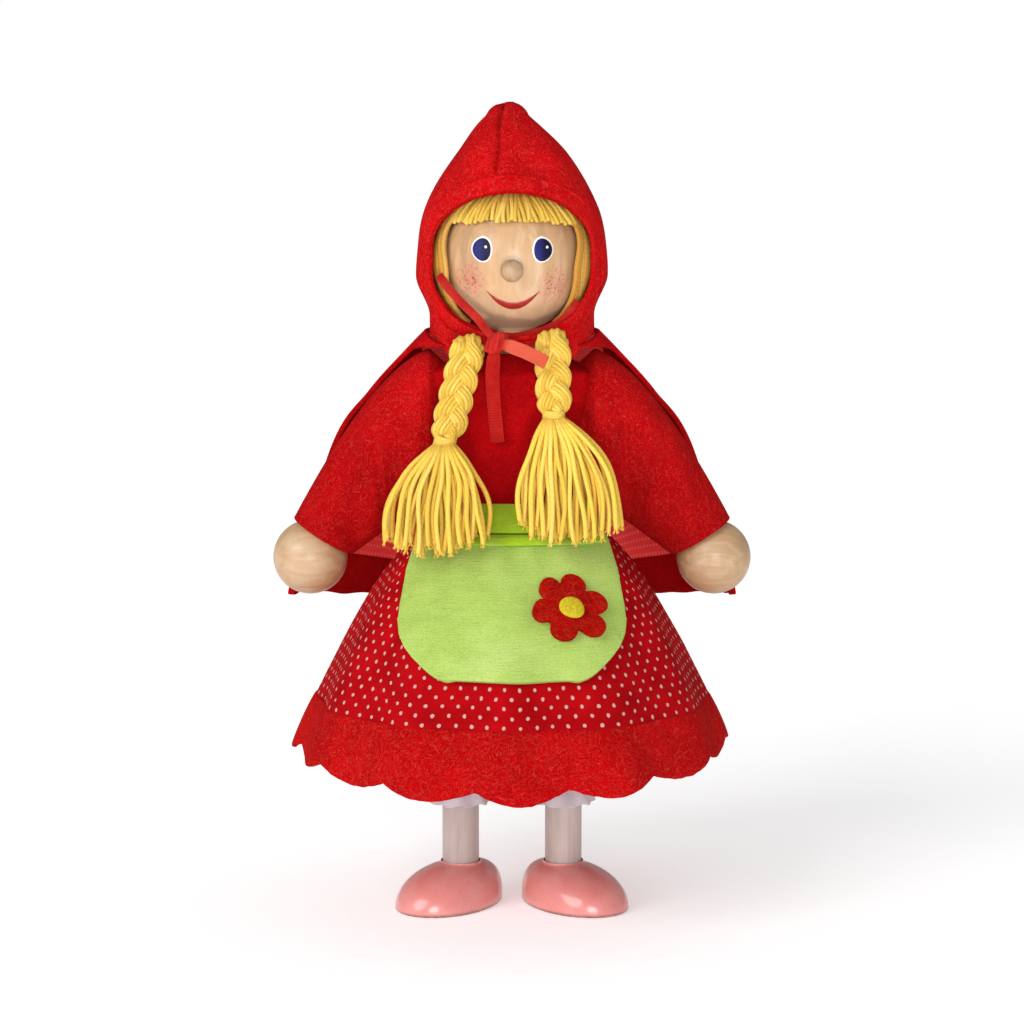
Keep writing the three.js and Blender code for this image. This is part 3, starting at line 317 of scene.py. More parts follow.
def lay(bm, surface, columns, rows, uv_size=(1.0, 1.0), uv_start=(0.0, 0.0)):
    """Lay a grid on a surface given by its shares across and along, and keep the flat grid as its UV map."""
    layer = bm.loops.layers.uv.verify()
    made = bmesh.ops.create_grid(bm, x_segments=columns, y_segments=rows, size=0.5)
    faces = {face for vert in made["verts"] for face in vert.link_faces}
    for face in faces:
        for loop in face.loops:
            across = loop.vert.co.x + 0.5
            along = loop.vert.co.y + 0.5
            loop[layer].uv = (uv_start[0] + across * uv_size[0], uv_start[1] + along * uv_size[1])
    for vert in made["verts"]:
        vert.co = surface(vert.co.x + 0.5, vert.co.y + 0.5)
    return made["verts"]


def close_up(bm, inside=None, distance=0.001):
    """Merge the seam of a laid grid and point its faces away from an inside point."""
    bmesh.ops.remove_doubles(bm, verts=bm.verts, dist=distance)
    bmesh.ops.dissolve_degenerate(bm, edges=bm.edges, dist=distance)
    bmesh.ops.recalc_face_normals(bm, faces=bm.faces)
    if inside is None:
        return
    outward = 0.0
    for face in bm.faces:
        outward += face.calc_area() * face.normal.dot(face.calc_center_median() - Vector(inside))
    if outward < 0:
        bmesh.ops.reverse_faces(bm, faces=bm.faces)


def make_piece(name, bm, *finishes):
    """Turn a drawing in millimetres into an object in metres."""
    bmesh.ops.scale(bm, vec=(MM, MM, MM), verts=bm.verts)
    mesh = bpy.data.meshes.new(name)
    bm.to_mesh(mesh)
    bm.free()
    for finish in finishes:
        mesh.materials.append(finish)
    mesh.shade_smooth()
    piece = bpy.data.objects.new(name, mesh)
    bpy.context.scene.collection.objects.link(piece)
    return piece


def laid_piece(name, surface, grid, uv_size, inside, *finishes, merge=0.001):
    """A piece of one sheet laid on a surface, with its columns and rows and the size of its UV map."""
    bm = bmesh.new()
    lay(bm, surface, *grid, uv_size)
    close_up(bm, inside, merge)
    return make_piece(name, bm, *finishes)


def thicken(piece, thickness, inner=0, rim=0, offset=-1.0):
    """Give a laid sheet its wall, with its own finish inside where one is named."""
    wall = piece.modifiers.new("wall", 'SOLIDIFY')
    wall.thickness = thickness
    wall.offset = offset
    wall.material_offset = inner
    wall.material_offset_rim = rim
    return piece


def soften(piece, width):
    """Round the cut edges of a sheet."""
    edge = piece.modifiers.new("edge", 'BEVEL')
    edge.width = width
    edge.segments = 2
    edge.limit_method = 'ANGLE'
    edge.angle_limit = math.radians(50)
    return piece


def sewn(piece, thickness, edge, slot_name, *nodes):
    """Give a sheet on the torso its wall and its rounded edges."""
    thicken(piece, thickness)
    soften(piece, edge)
    return dress(piece, "torso", slot_name, *nodes)


def settle(piece):
    """Turn a piece's modifiers into mesh, as a piece that bends needs, and keep its cut edges crisp."""
    graph = bpy.context.evaluated_depsgraph_get()
    shaped = bpy.data.meshes.new_from_object(piece.evaluated_get(graph))
    shaped.set_sharp_from_angle(angle=math.radians(50))
    drawn = piece.data
    piece.modifiers.clear()
    piece.data = shaped
    bpy.data.meshes.remove(drawn)
    return piece


def turned(bm, profile, centre, axis, steps=64):
    """Turn a profile of radius and height round an axis, as on a lathe."""
    spin_axis = Vector(axis).normalized()
    upright = Vector((0, 0, 1)).rotation_difference(spin_axis)
    base = Vector(centre)
    corners = [bm.verts.new(base + upright @ Vector((radius, 0, height))) for radius, height in profile]
    edges = [bm.edges.new(pair) for pair in zip(corners, corners[1:])]
    bmesh.ops.spin(
        bm, geom=corners + edges, cent=base, axis=spin_axis, angle=FULL_TURN, steps=steps, use_merge=True
    )
    bmesh.ops.remove_doubles(bm, verts=bm.verts, dist=0.001)
    bmesh.ops.recalc_face_normals(bm, faces=bm.faces)


def blunt(points, radius):
    """The same points with more near both ends, and the strand's size at each of them."""
    path = [Vector(point) for point in points]
    first = (path[1] - path[0]).normalized() * radius
    last = (path[-2] - path[-1]).normalized() * radius
    start = [path[0], path[0] + first * 0.15, path[0] + first * 0.7]
    end = [path[-1] + last * 0.7, path[-1] + last * 0.15, path[-1]]
    shares = [0.0, 0.72, 1.0] + [1.0] * (len(path) - 2) + [1.0, 0.72, 0.0]
    return start + path[1:-1] + end, shares


def sweep(bm, points, radius, sides=6, strand=0):
    """Draw one closed strand of yarn along smooth points, with its number kept in the UV map."""
    path, shares = blunt(points, radius)
    steps = len(path) - 1
    reach = sum((end - start).length for start, end in zip(path, path[1:]))
    tangents = [
        (path[min(i + 1, steps)] - path[max(i - 1, 0)]).normalized() for i in range(steps + 1)
    ]
    normals = [tangents[0].orthogonal().normalized()]
    for tangent in tangents[1:]:
        carried = normals[-1] - tangent * normals[-1].dot(tangent)
        normals.append(carried.normalized())

    def surface(across, along):
        index = min(steps, int(round(along * steps)))
        turn = across * FULL_TURN
        side = tangents[index].cross(normals[index])
        ring = normals[index] * math.cos(turn) + side * math.sin(turn)
        return path[index] + ring * radius * shares[index]

    verts = lay(bm, surface, sides, steps, (0.998, reach / YARN_TWIST), (strand + 0.001, 0))
    bmesh.ops.remove_doubles(bm, verts=verts, dist=0.0005)


def curve_points(points, count):
    """Points spread evenly by share on a smooth curve through the given ones."""
    given = [Vector(point) for point in points]
    spans = len(given) - 1
    made = []
    for step in range(count + 1):
        place = step / count * spans
        span = min(spans - 1, int(place))
        share = place - span
        before = given[max(span - 1, 0)]
        start = given[span]
        end = given[span + 1]
        after = given[min(span + 2, spans)]
        made.append(
            0.5 * (
                2 * start
                + (end - before) * share
                + (2 * before - 5 * start + 4 * end - after) * share ** 2
                + (3 * start - before - 3 * end + after) * share ** 3
            )
        )
    return made


def dress(piece, body, slot_name, *nodes):
    """Let a piece ride on its body and stand for its solids, which are hidden; the slot name is not used."""
    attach(piece, body)
    if nodes:
        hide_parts(*nodes)
    return piece


def felt_finish(name, colour, pale, fuzz_sheen=1.0):
    """Pressed wool: swirling fibres and soft blotches, with pale fibres that are partly the felt's own curls
    and partly painted sheen, and painted shade in the low spots of the fine fluff.
    """
    recipe = Recipe(name)
    place = recipe.place()
    blotches = recipe.noise(place, 80.0, 4.0, 0.6)
    fibres = recipe.noise(place, 800.0, 8.0, 0.75, 2.6)
    fluff = recipe.noise(place, 2300.0, 4.0, 0.7, 1.2)
    ground = recipe.ramp(blotches, (0.32, tint(colour, 0.8)), (0.68, tint(colour, 1.14)))
    curls = recipe.noise(place, 210.0, 3.0, 0.5, 3.5)
    hairs = recipe.range(recipe.math('ABSOLUTE', recipe.centred(curls)), 0.004, 0.022, 0.55, 0.0)
    strands = recipe.math('MAXIMUM', recipe.range(fibres, 0.52, 0.72, 0.0, 0.5), hairs)
    # Pale fibres: partly the felt's own curls and partly painted sheen, more of them with a higher sheen
    # factor.
    fuzzed = recipe.blend(recipe.times(strands, 0.7 * fuzz_sheen), ground, pale)
    # Painted shade in the low spots of the fine fluff.
    hollow_shade = recipe.range(fluff, 0.34, 0.56, 0.5, 1.0)
    colour_out = recipe.blend(1.0, fuzzed, recipe.greys(hollow_shade), 'MULTIPLY')
    recipe.bump(recipe.weigh((fibres, 0.7), (fluff, 0.45), (blotches, 0.6)), 0.85, 0.0011)
    return recipe.shade(
        Base_Color=colour_out, Roughness=recipe.range(fibres, 0.2, 0.8, 1.0, 0.88),
        Specular_IOR_Level=0.02, Sheen_Weight=0.03, Sheen_Roughness=0.5, Sheen_Tint=tint(pale, 0.9)
    )


def dotted_cotton_finish():
    """Printed cotton: rows of dots that follow the hem, over a plain weave."""
    recipe = Recipe("dotted_cotton")
    axes = recipe.split()
    place = recipe.place()
    wander = recipe.noise(place, 260.0, 2.0)
    wander_too = recipe.noise(recipe.place(shift=(0.31, 0.12, 0.57)), 260.0, 2.0)
    rows = recipe.weigh((axes["Y"], 1), (recipe.centred(wander), 0.35))
    odd = recipe.math('MODULO', recipe.math('FLOOR', rows), 2.0)
    columns = recipe.weigh((axes["X"], 1), (odd, 0.5), (recipe.centred(wander_too), 0.2))
    aside = recipe.times(recipe.centred(recipe.math('FRACT', columns)), DOT_SPACING)
    above = recipe.times(recipe.centred(recipe.math('FRACT', rows)), DOT_ROW_SPACING)
    reach = recipe.math(
        'SQRT', recipe.plus(recipe.times(aside, aside), recipe.times(above, above))
    )
    ink = recipe.noise(place, 2400.0, 3.0)
    wear_and_painted_light = recipe.weigh((reach, 1), (recipe.centred(ink), 0.3))
    dot = recipe.range(wear_and_painted_light, 0.46, 0.6, 1.0, 0.0)
    halo = recipe.range(wear_and_painted_light, 0.58, 0.9, 0.35, 0.0)
    threads = recipe.place("UV", (DOT_SPACING * THREADS_PER_DOT, DOT_ROW_SPACING * THREADS_PER_DOT, 1))
    weave = recipe.weave(threads, Scale=0.32, Distortion=1.0)
    blotches = recipe.noise(place, 120.0, 4.0)
    base = hue("cotton")
    ground = recipe.ramp(blotches, (0.32, tint(base, 0.78)), (0.7, tint(base, 1.15)))
    rimmed = recipe.blend(halo, ground, tint(base, 0.3))
    pattern = recipe.blend(recipe.times(dot, 0.92), rimmed, hue("dots"))
    gaps = recipe.ramp(weave, (0.0, tint(base, 0.4)), (0.6, (1, 1, 1)))
    shadowed = recipe.blend(0.3, pattern, gaps, 'MULTIPLY')
    recipe.bump(recipe.weigh((weave, 1), (blotches, 1.4)), 0.35, 0.0004)
    return recipe.shade(
        Base_Color=shadowed, Roughness=recipe.range(blotches, 0.2, 0.8, 0.92, 0.78),
        Specular_IOR_Level=0.04
    )


def velour_finish(name, base):
    """Cut pile with a fine rib across the cloth and a brushed, mottled nap, and painted shade in the low
    spots of the pile.
    """
    recipe = Recipe(name)
    place = recipe.place()
    ribs = recipe.add(
        "TexWave", {"bands_direction": 'Z'}, Vector=place, Scale=420.0, Distortion=7.0, Detail=4.0,
        Detail_Scale=2.0
    ).outputs["Fac"]
    nap = recipe.noise(recipe.place(scale=(0.45, 1, 1)), 300.0, 6.0, 0.7, 0.6)
    pile = recipe.noise(place, 3200.0, 4.0, 0.7)
    wide = recipe.noise(place, 55.0, 3.0)
    tone = recipe.weigh((nap, 0.45), (wide, 0.55), (recipe.centred(ribs), 0.045))
    brushed = recipe.ramp(
        tone, (0.32, tint(base, 0.82)), (0.5, base), (0.66, lean(base, (0.8, 0.92, 0.4), 0.22))
    )
    # Painted shade in the low spots of the pile.
    hollow_shade = recipe.range(pile, 0.3, 0.55, 0.7, 1.0)
    colour_out = recipe.blend(1.0, brushed, recipe.greys(hollow_shade), 'MULTIPLY')
    recipe.bump(recipe.weigh((ribs, 0.12), (pile, 0.6), (nap, 1)), 0.6, 0.0006)
    return recipe.shade(
        Base_Color=colour_out, Roughness=recipe.range(pile, 0.2, 0.8, 1.0, 0.85), Specular_IOR_Level=0.08,
        Sheen_Weight=0.2, Sheen_Roughness=0.4, Sheen_Tint=lean(base, (1, 1, 0.6), 0.3)
    )


def yarn_finish(name, shade=1.0, depth=0.0):
    """Spun yarn: plies twisted along each strand, each strand with its own tone, and painted shade in the
    grooves between the plies. A shade below one darkens the whole yarn, and a depth leans it to orange-brown:
    both are painted shade, and the orange-brown is also a painted red reflection from the hood.
    """
    recipe = Recipe(name)
    axes = recipe.split()
    # Painted shade: shade darkens the yarn, and depth moves it to an orange-brown that stands for shade and
    # red light thrown back from the hood.
    base = lean(tint(hue("yarn"), shade), (0.42, 0.12, 0.008), depth)
    lane = recipe.times(axes["X"], 2.0)
    climb = recipe.times(axes["Y"], 4.5)
    twist = recipe.math('FRACT', recipe.plus(lane, climb))
    groove = recipe.math('ABSOLUTE', recipe.centred(twist))
    ply = recipe.range(groove, 0.0, 0.5, 1.0, 0.0)
    own = recipe.add("TexWhiteNoise", {"noise_dimensions": '1D'})
    recipe.feed(own.inputs["W"], recipe.math('FLOOR', axes["X"]))
    place = recipe.place()
    fibres = recipe.noise(place, 2400.0, 5.0, 0.7, 1.5)
    toned = recipe.ramp(
        own.outputs["Value"], (0.0, tint(base, 0.88)), (0.5, base), (1.0, lean(base, (1.0, 0.82, 0.3), 0.3))
    )
    # Painted shade in the grooves between the plies.
    dark = recipe.ramp(ply, (0.0, lean(tint(base, 0.5), (0.3, 0.1, 0.02), 0.3)), (0.55, (1, 1, 1)))
    twisted = recipe.blend(0.14, toned, dark, 'MULTIPLY')
    fuzzed = recipe.blend(recipe.range(fibres, 0.5, 0.8, 0.0, 0.4), twisted, lean(base, (1, 0.92, 0.6), 0.5))
    recipe.bump(recipe.weigh((ply, 0.35), (fibres, 1)), 0.5, 0.0004)
    return recipe.shade(
        Base_Color=fuzzed, Roughness=recipe.range(fibres, 0.2, 0.8, 0.95, 0.7), Specular_IOR_Level=0.12,
        Sheen_Weight=0.1, Sheen_Roughness=0.4, Sheen_Tint=lean(base, (1, 1, 0.6), 0.3)
    )


STRAP_LENGTH = 25.0


def satin_finish(name, loose_end):
    """Ribbon: close cross threads with a woven edge and a soft shine, patches of painted sheen, painted
    highlights on the cords and painted shade between the rows; past the strap its colour moves to the loose
    end's, lighter as painted sheen on the pale ribbon and darker on the plain one.
    """
    recipe = Recipe(name)
    axes = recipe.split()
    base = hue("satin")
    rows = recipe.math('SINE', recipe.times(axes["Y"], 17.0))
    cords = recipe.math('SINE', recipe.times(axes["X"], 60.0))
    edge = recipe.range(
        recipe.math('ABSOLUTE', recipe.centred(axes["X"])), 0.4, 0.47
    )
    # Painted sheen: lighter and darker patches of the ribbon's red.
    sheen = recipe.noise(recipe.place(), 330.0, 4.0, 0.6)
    ground = recipe.ramp(sheen, (0.3, tint(base, 0.75)), (0.75, lean(base, (0.85, 0.1, 0.06), 0.3)))
    # Painted highlights on the cords.
    highlit_cords = recipe.blend(recipe.range(cords, 0.0, 1.0, 0.0, 0.4), ground, lean(base, (1.0, 0.2, 0.16), 0.3))
    # Painted shade between the rows.
    row_shaded = recipe.blend(recipe.range(rows, -1.0, 1.0, 0.0, 0.4), highlit_cords, tint(base, 0.5))
    colour_out = recipe.blend(recipe.times(edge, 0.4), row_shaded, lean(base, (0.9, 0.2, 0.15), 0.25))
    # Past the strap the colour moves to the loose end's: on the pale ribbon lighter, as painted sheen, and on
    # the plain one darker.
    wear_and_painted_light = recipe.range(axes["Y"], STRAP_LENGTH, STRAP_LENGTH + 2.0, 0.0, 0.55)
    colour_out = recipe.blend(wear_and_painted_light, colour_out, loose_end)
    recipe.bump(recipe.weigh((rows, 0.5), (cords, 0.4), (edge, 1)), 0.6, 0.0003)
    return recipe.shade(
        Base_Color=colour_out, Roughness=recipe.range(sheen, 0.2, 0.8, 0.5, 0.36), Specular_IOR_Level=0.08
    )


def lining_finish():
    """Shiny knitted lining with rows of small loops, lighter loops as painted highlights and darker rows as
    painted shade, and a faint glow as painted light.
    """
    recipe = Recipe("cape_lining")
    axes = recipe.split()
    base = hue("lining")
    rows = recipe.math('SINE', recipe.times(axes["Y"], 5.2))
    loops = recipe.math('SINE', recipe.times(axes["X"], 7.4))
    knit = recipe.times(recipe.range(rows, -1.0, 1.0), recipe.range(loops, -1.0, 1.0, 0.5, 1.0))
    tone = recipe.noise(recipe.place(), 130.0, 4.0)
    # Painted highlights on the loops and painted shade between the rows.
    ground = recipe.ramp(knit, (0.1, tint(base, 0.9)), (0.5, base), (0.85, lean(base, (1.0, 0.4, 0.4), 0.4)))
    colour_out = recipe.blend(recipe.range(tone, 0.4, 0.7, 0.0, 0.3), ground, tint(base, 0.8))
    recipe.bump(knit, 0.5, 0.0006)
    # The lining gives a faint glow of its own red, as painted light.
    return recipe.shade(
        Base_Color=colour_out, Emission_Color=tint(base, 0.9), Emission_Strength=0.13,
        Roughness=recipe.range(knit, 0.0, 1.0, 0.65, 0.45), Specular_IOR_Level=0.3,
        Sheen_Weight=0.15, Sheen_Roughness=0.4, Sheen_Tint=(1.0, 0.5, 0.5)
    )


def linen_finish():
    """Thin gathered linen, cool in tone."""
    recipe = Recipe("white_linen")
    base = hue("linen")
    weave = recipe.weave(recipe.place("UV"), Scale=0.9, Distortion=2.0, Detail=2.0)
    tone = recipe.noise(recipe.place(), 170.0, 4.0)
    ground = recipe.ramp(tone, (0.3, tint(base, 0.8)), (0.7, base))
    # Painted shade between the threads of the weave.
    colour_out = recipe.blend(recipe.range(weave, 0.0, 0.5, 0.25, 0.0), ground, tint(base, 0.55))
    recipe.bump(recipe.plus(weave, tone), 0.4, 0.0003)
    return recipe.shade(
        Base_Color=colour_out, Roughness=recipe.range(tone, 0.2, 0.8, 0.9, 0.75), Specular_IOR_Level=0.2,
        Sheen_Weight=0.25, Sheen_Roughness=0.4
    )


def wood_finish(name, colour, grain_axis, gloss=0.42, dark=0.72, cheeks=None):
    """Turned wood: long grain, fine pores and thin lacquer, with dabbed cheeks where they are given, and with
    them the face made lighter towards the chin as painted light.
    """
    recipe = Recipe(name)
    along = {"X": (0.1, 1, 1), "Y": (1, 0.1, 1), "Z": (1, 1, 0.1)}[grain_axis]
    place = recipe.place(scale=along)
    bend = recipe.noise(place, 55.0, 3.0, 0.5, 0.4)
    rings = recipe.noise(place, 260.0, 5.0, 0.6, 1.0)
    pores = recipe.noise(place, 1500.0, 3.0, 0.6)
    tone = recipe.weigh((bend, 0.5), (rings, 0.5))
    grained = recipe.ramp(
        tone, (0.34, tint(colour, dark)), (0.5, colour), (0.66, lean(colour, (0.95, 0.85, 0.7), 0.25))
    )
    pored = recipe.blend(recipe.range(pores, 0.6, 0.75, 0.0, 0.3), grained, tint(colour, 0.5))
    if cheeks:
        # Painted light: the face is made lighter from just under the nose down to the chin.
        painted_chin_light = recipe.range(recipe.split("Object")["Z"], 0.157, 0.171, 0.7, 0.0)
        pored = recipe.blend(painted_chin_light, pored, lean(colour, (0.95, 0.76, 0.56), 0.5))
        dabs = recipe.noise(recipe.place(), 500.0, 4.0, 0.65)
        specks = recipe.noise(recipe.place(), 1500.0, 2.0, 0.5)
        for cheek in cheeks:
            spot = recipe.add("VectorMath", {"operation": 'DISTANCE'})
            recipe.feed(spot.inputs[0], recipe.coordinates.outputs["Object"])
            spot.inputs[1].default_value = tuple(part * MM for part in cheek)
            nearness = recipe.range(spot.outputs["Value"], 0.0016, 0.0062, 1.0, 0.0)
            cover = recipe.times(nearness, recipe.range(dabs, 0.4, 0.6, 0.14, 0.55))
            pored = recipe.blend(cover, pored, hue("blush"))
            freckle = recipe.times(nearness, recipe.range(specks, 0.57, 0.65, 0.0, 0.9))
            pored = recipe.blend(freckle, pored, tint(hue("blush"), 0.42))
    recipe.bump(recipe.weigh((rings, 1), (pores, 0.5)), 0.12, 0.0003)
    return recipe.shade(
        Base_Color=pored, Roughness=recipe.range(rings, 0.2, 0.8, gloss + 0.08, gloss - 0.04),
        Specular_IOR_Level=0.45, Coat_Weight=0.25, Coat_Roughness=0.22
    )


def shoe_finish():
    """Brushed gloss paint, darker in a mottled band by the sole as a painted shadow where the shoe meets the
    floor.
    """
    recipe = Recipe("pink_paint")
    base = hue("paint")
    place = recipe.place()
    axes = recipe.split("Object")
    clouds = recipe.noise(place, 150.0, 4.0)
    chips = recipe.noise(place, 900.0, 5.0, 0.7)
    painted = recipe.ramp(clouds, (0.3, tint(base, 0.95)), (0.7, lean(base, (1, 0.8, 0.76), 0.07)))
    # Painted shadow: a dark, mottled band by the sole where the shoe meets the floor.
    low = recipe.range(axes["Z"], 0.0003, 0.0012, 1.0, 0.0)
    wear_and_painted_light = recipe.times(low, recipe.range(chips, 0.35, 0.55, 0.5, 1.0))
    colour_out = recipe.blend(wear_and_painted_light, painted, linear(96, 58, 52))
    recipe.bump(recipe.weigh((clouds, 1), (chips, 0.2)), 0.15, 0.0006)
    return recipe.shade(
        Base_Color=colour_out, Roughness=recipe.range(chips, 0.2, 0.8, 0.24, 0.34), Specular_IOR_Level=0.5,
        Coat_Weight=0.5, Coat_Roughness=0.12
    )


def face_paint_finish(name, colour, dark):
    """A dab of paint with brush marks."""
    recipe = Recipe(name)
    marks = recipe.noise(recipe.place(scale=(1, 1, 0.4)), 1500.0, 4.0, 0.6)
    colour_out = recipe.ramp(marks, (0.35, dark), (0.65, colour))
    recipe.bump(marks, 0.15, 0.0002)
    return recipe.shade(
        Base_Color=colour_out, Roughness=recipe.range(marks, 0.2, 0.8, 0.43, 0.3)
    )


def iris_finish():
    """Navy paint, darker on one side of the eye."""
    recipe = Recipe("eye_paint")
    base = hue("eye")
    marks = recipe.noise(recipe.place(), 1400.0, 4.0)
    axes = recipe.split()
    side = recipe.range(recipe.weigh((axes["X"], 1), (marks, 0.2)), 0.45, 0.75)
    colour_out = recipe.blend(side, lean(base, linear(40, 44, 116), 0.5), tint(base, 0.4))
    recipe.bump(marks, 0.15, 0.0002)
    return recipe.shade(
        Base_Color=colour_out, Roughness=recipe.range(marks, 0.2, 0.8, 0.55, 0.45), Specular_IOR_Level=0.2
    )


def steel_finish():
    """Drawn wire with fine lengthwise marks."""
    recipe = Recipe("steel")
    base = hue("steel")
    marks = recipe.noise(recipe.place(scale=(0.2, 1, 1)), 3000.0, 4.0)
    recipe.bump(marks, 0.2, 0.0001)
    return recipe.shade(
        Base_Color=recipe.ramp(marks, (0.3, tint(base, 0.7)), (0.7, base)), Metallic=1.0,
        Roughness=recipe.range(marks, 0.2, 0.8, 0.42, 0.28)
    )


def floor_finish():
    """Plain pale floor."""
    recipe = Recipe("pale_floor")
    base = hue("floor")
    grain = recipe.noise(recipe.place(), 40.0, 2.0)
    return recipe.shade(
        Base_Color=recipe.ramp(grain, (0.3, tint(base, 0.985)), (0.7, base)), Roughness=0.9,
        Specular_IOR_Level=0.1, Emission_Color=(1.0, 1.0, 1.0), Emission_Strength=0.42
    )


CAMERA_PLACE = (0.0, -0.835, 0.221)
CAMERA_DIP = 7.72
LENS_LENGTH = 110.0
SENSOR_WIDTH = 36.0
FLOOR_HALF = 30000.0
ROOM_LIGHT = 0.38
# Power, softness in degrees, and the side that the light comes from.
KEY_LIGHT = (1.65, 38.0, (-0.85, -0.95, 0.62))
FILL_LIGHT = (1.4, 24.0, (0.05, -1.0, 0.12))
FACE_LIGHT_POWER = 34.0
FACE_LIGHT_COLOUR = (1.0, 0.86, 0.72)
FACE_LIGHT_CONE = 6.5
FACE_LIGHT_SIZE = 0.06
FACE_LIGHT_PLACE = Vector((0.0, -0.36, 0.03))
FACE_LIGHT_TARGET = Vector((0.0, 0.0, 0.1675))


class DOLL_OT_stage(bpy.types.Operator):
    """Set the camera, the soft lights and the pale floor"""
    bl_idname = "doll.stage"
    bl_label = "Stage"

    def execute(self, context):
        scene = context.scene
        scene.view_settings.view_transform = 'Standard'
        lens = bpy.data.cameras.new("photo_camera")
        lens.lens = LENS_LENGTH
        lens.sensor_width = SENSOR_WIDTH
        camera = bpy.data.objects.new("photo_camera", lens)
        camera.location = CAMERA_PLACE
        camera.rotation_euler = (math.radians(90 - CAMERA_DIP), 0.0, 0.0)
        scene.collection.objects.link(camera)
        scene.camera = camera
        bm = bmesh.new()
        bmesh.ops.create_grid(bm, x_segments=8, y_segments=8, size=FLOOR_HALF)
        make_piece("floor", bm, floor_finish())
        self.backdrop(scene)
        self.sun("key_light", *KEY_LIGHT)
        self.sun("fill_light", *FILL_LIGHT)
        self.face_light()
        return {'FINISHED'}

    def backdrop(self, scene):
        """A white room, dimmer as a light than as a backdrop."""
        scene.world = bpy.data.worlds.new("studio")
        scene.world.use_nodes = True
        tree = scene.world.node_tree
        background = tree.nodes["Background"]
        background.inputs["Color"].default_value = (1.0, 1.0, 1.0, 1.0)
        seen = tree.nodes.new("ShaderNodeLightPath")
        strength = tree.nodes.new("ShaderNodeMapRange")
        strength.inputs["To Min"].default_value = ROOM_LIGHT
        strength.inputs["To Max"].default_value = 1.0
        tree.links.new(seen.outputs["Is Camera Ray"], strength.inputs["Value"])
        tree.links.new(strength.outputs["Result"], background.inputs["Strength"])

    def sun(self, name, power, softness, place):
        light = bpy.data.lights.new(name, 'SUN')
        light.energy = power
        light.angle = math.radians(softness)
        self.hang(light, Vector(place), Vector((0, 0, 0)))

    def face_light(self):
        """A low, soft beam that opens the shade under the hood."""
        light = bpy.data.lights.new("face_light", 'SPOT')
        light.energy = FACE_LIGHT_POWER
        light.color = FACE_LIGHT_COLOUR
        light.spot_size = math.radians(FACE_LIGHT_CONE)
        light.spot_blend = 1.0
        light.shadow_soft_size = FACE_LIGHT_SIZE
        self.hang(light, FACE_LIGHT_PLACE, FACE_LIGHT_TARGET)

    def hang(self, light, place, target):
        lamp = bpy.data.objects.new(light.name, light)
        lamp.location = place
        lamp.rotation_euler = (target - place).to_track_quat('-Z', 'Y').to_euler()
        bpy.context.scene.collection.objects.link(lamp)


KNOT_CENTRE = Vector((-4.1, -22.5, 155.2))
KNOT_SIZE = Vector((2.7, 2.0, 2.9))
RIBBON_TO_LEFT = (
    (-19.2, -10.8, 172.0), (-16.4, -14.0, 168.6), (-13.2, -16.6, 165.3), (-9.2, -19.4, 161.6),
    (-6.2, -22.0, 158.0), (-4.2, -23.4, 155.6), (-1, -24.2, 154.7), (3, -25.4, 153.3), (6.2, -26.2, 151.9),
    (8.9, -26.4, 150.5),
)
RIBBON_TO_RIGHT = (
    (17.4, -8.8, 165.0), (13.8, -11.2, 160.8), (9.4, -12.2, 158.2), (5.0, -13.4, 156.9), (0.2, -15.8, 156.2),
    (-2.4, -19.6, 155.8), (-4.0, -22.6, 154.6), (-4.7, -22.4, 151.6), (-5.1, -19.8, 146.2),
    (-4.7, -16.2, 138.6), (-3.7, -14.9, 128.6),
)


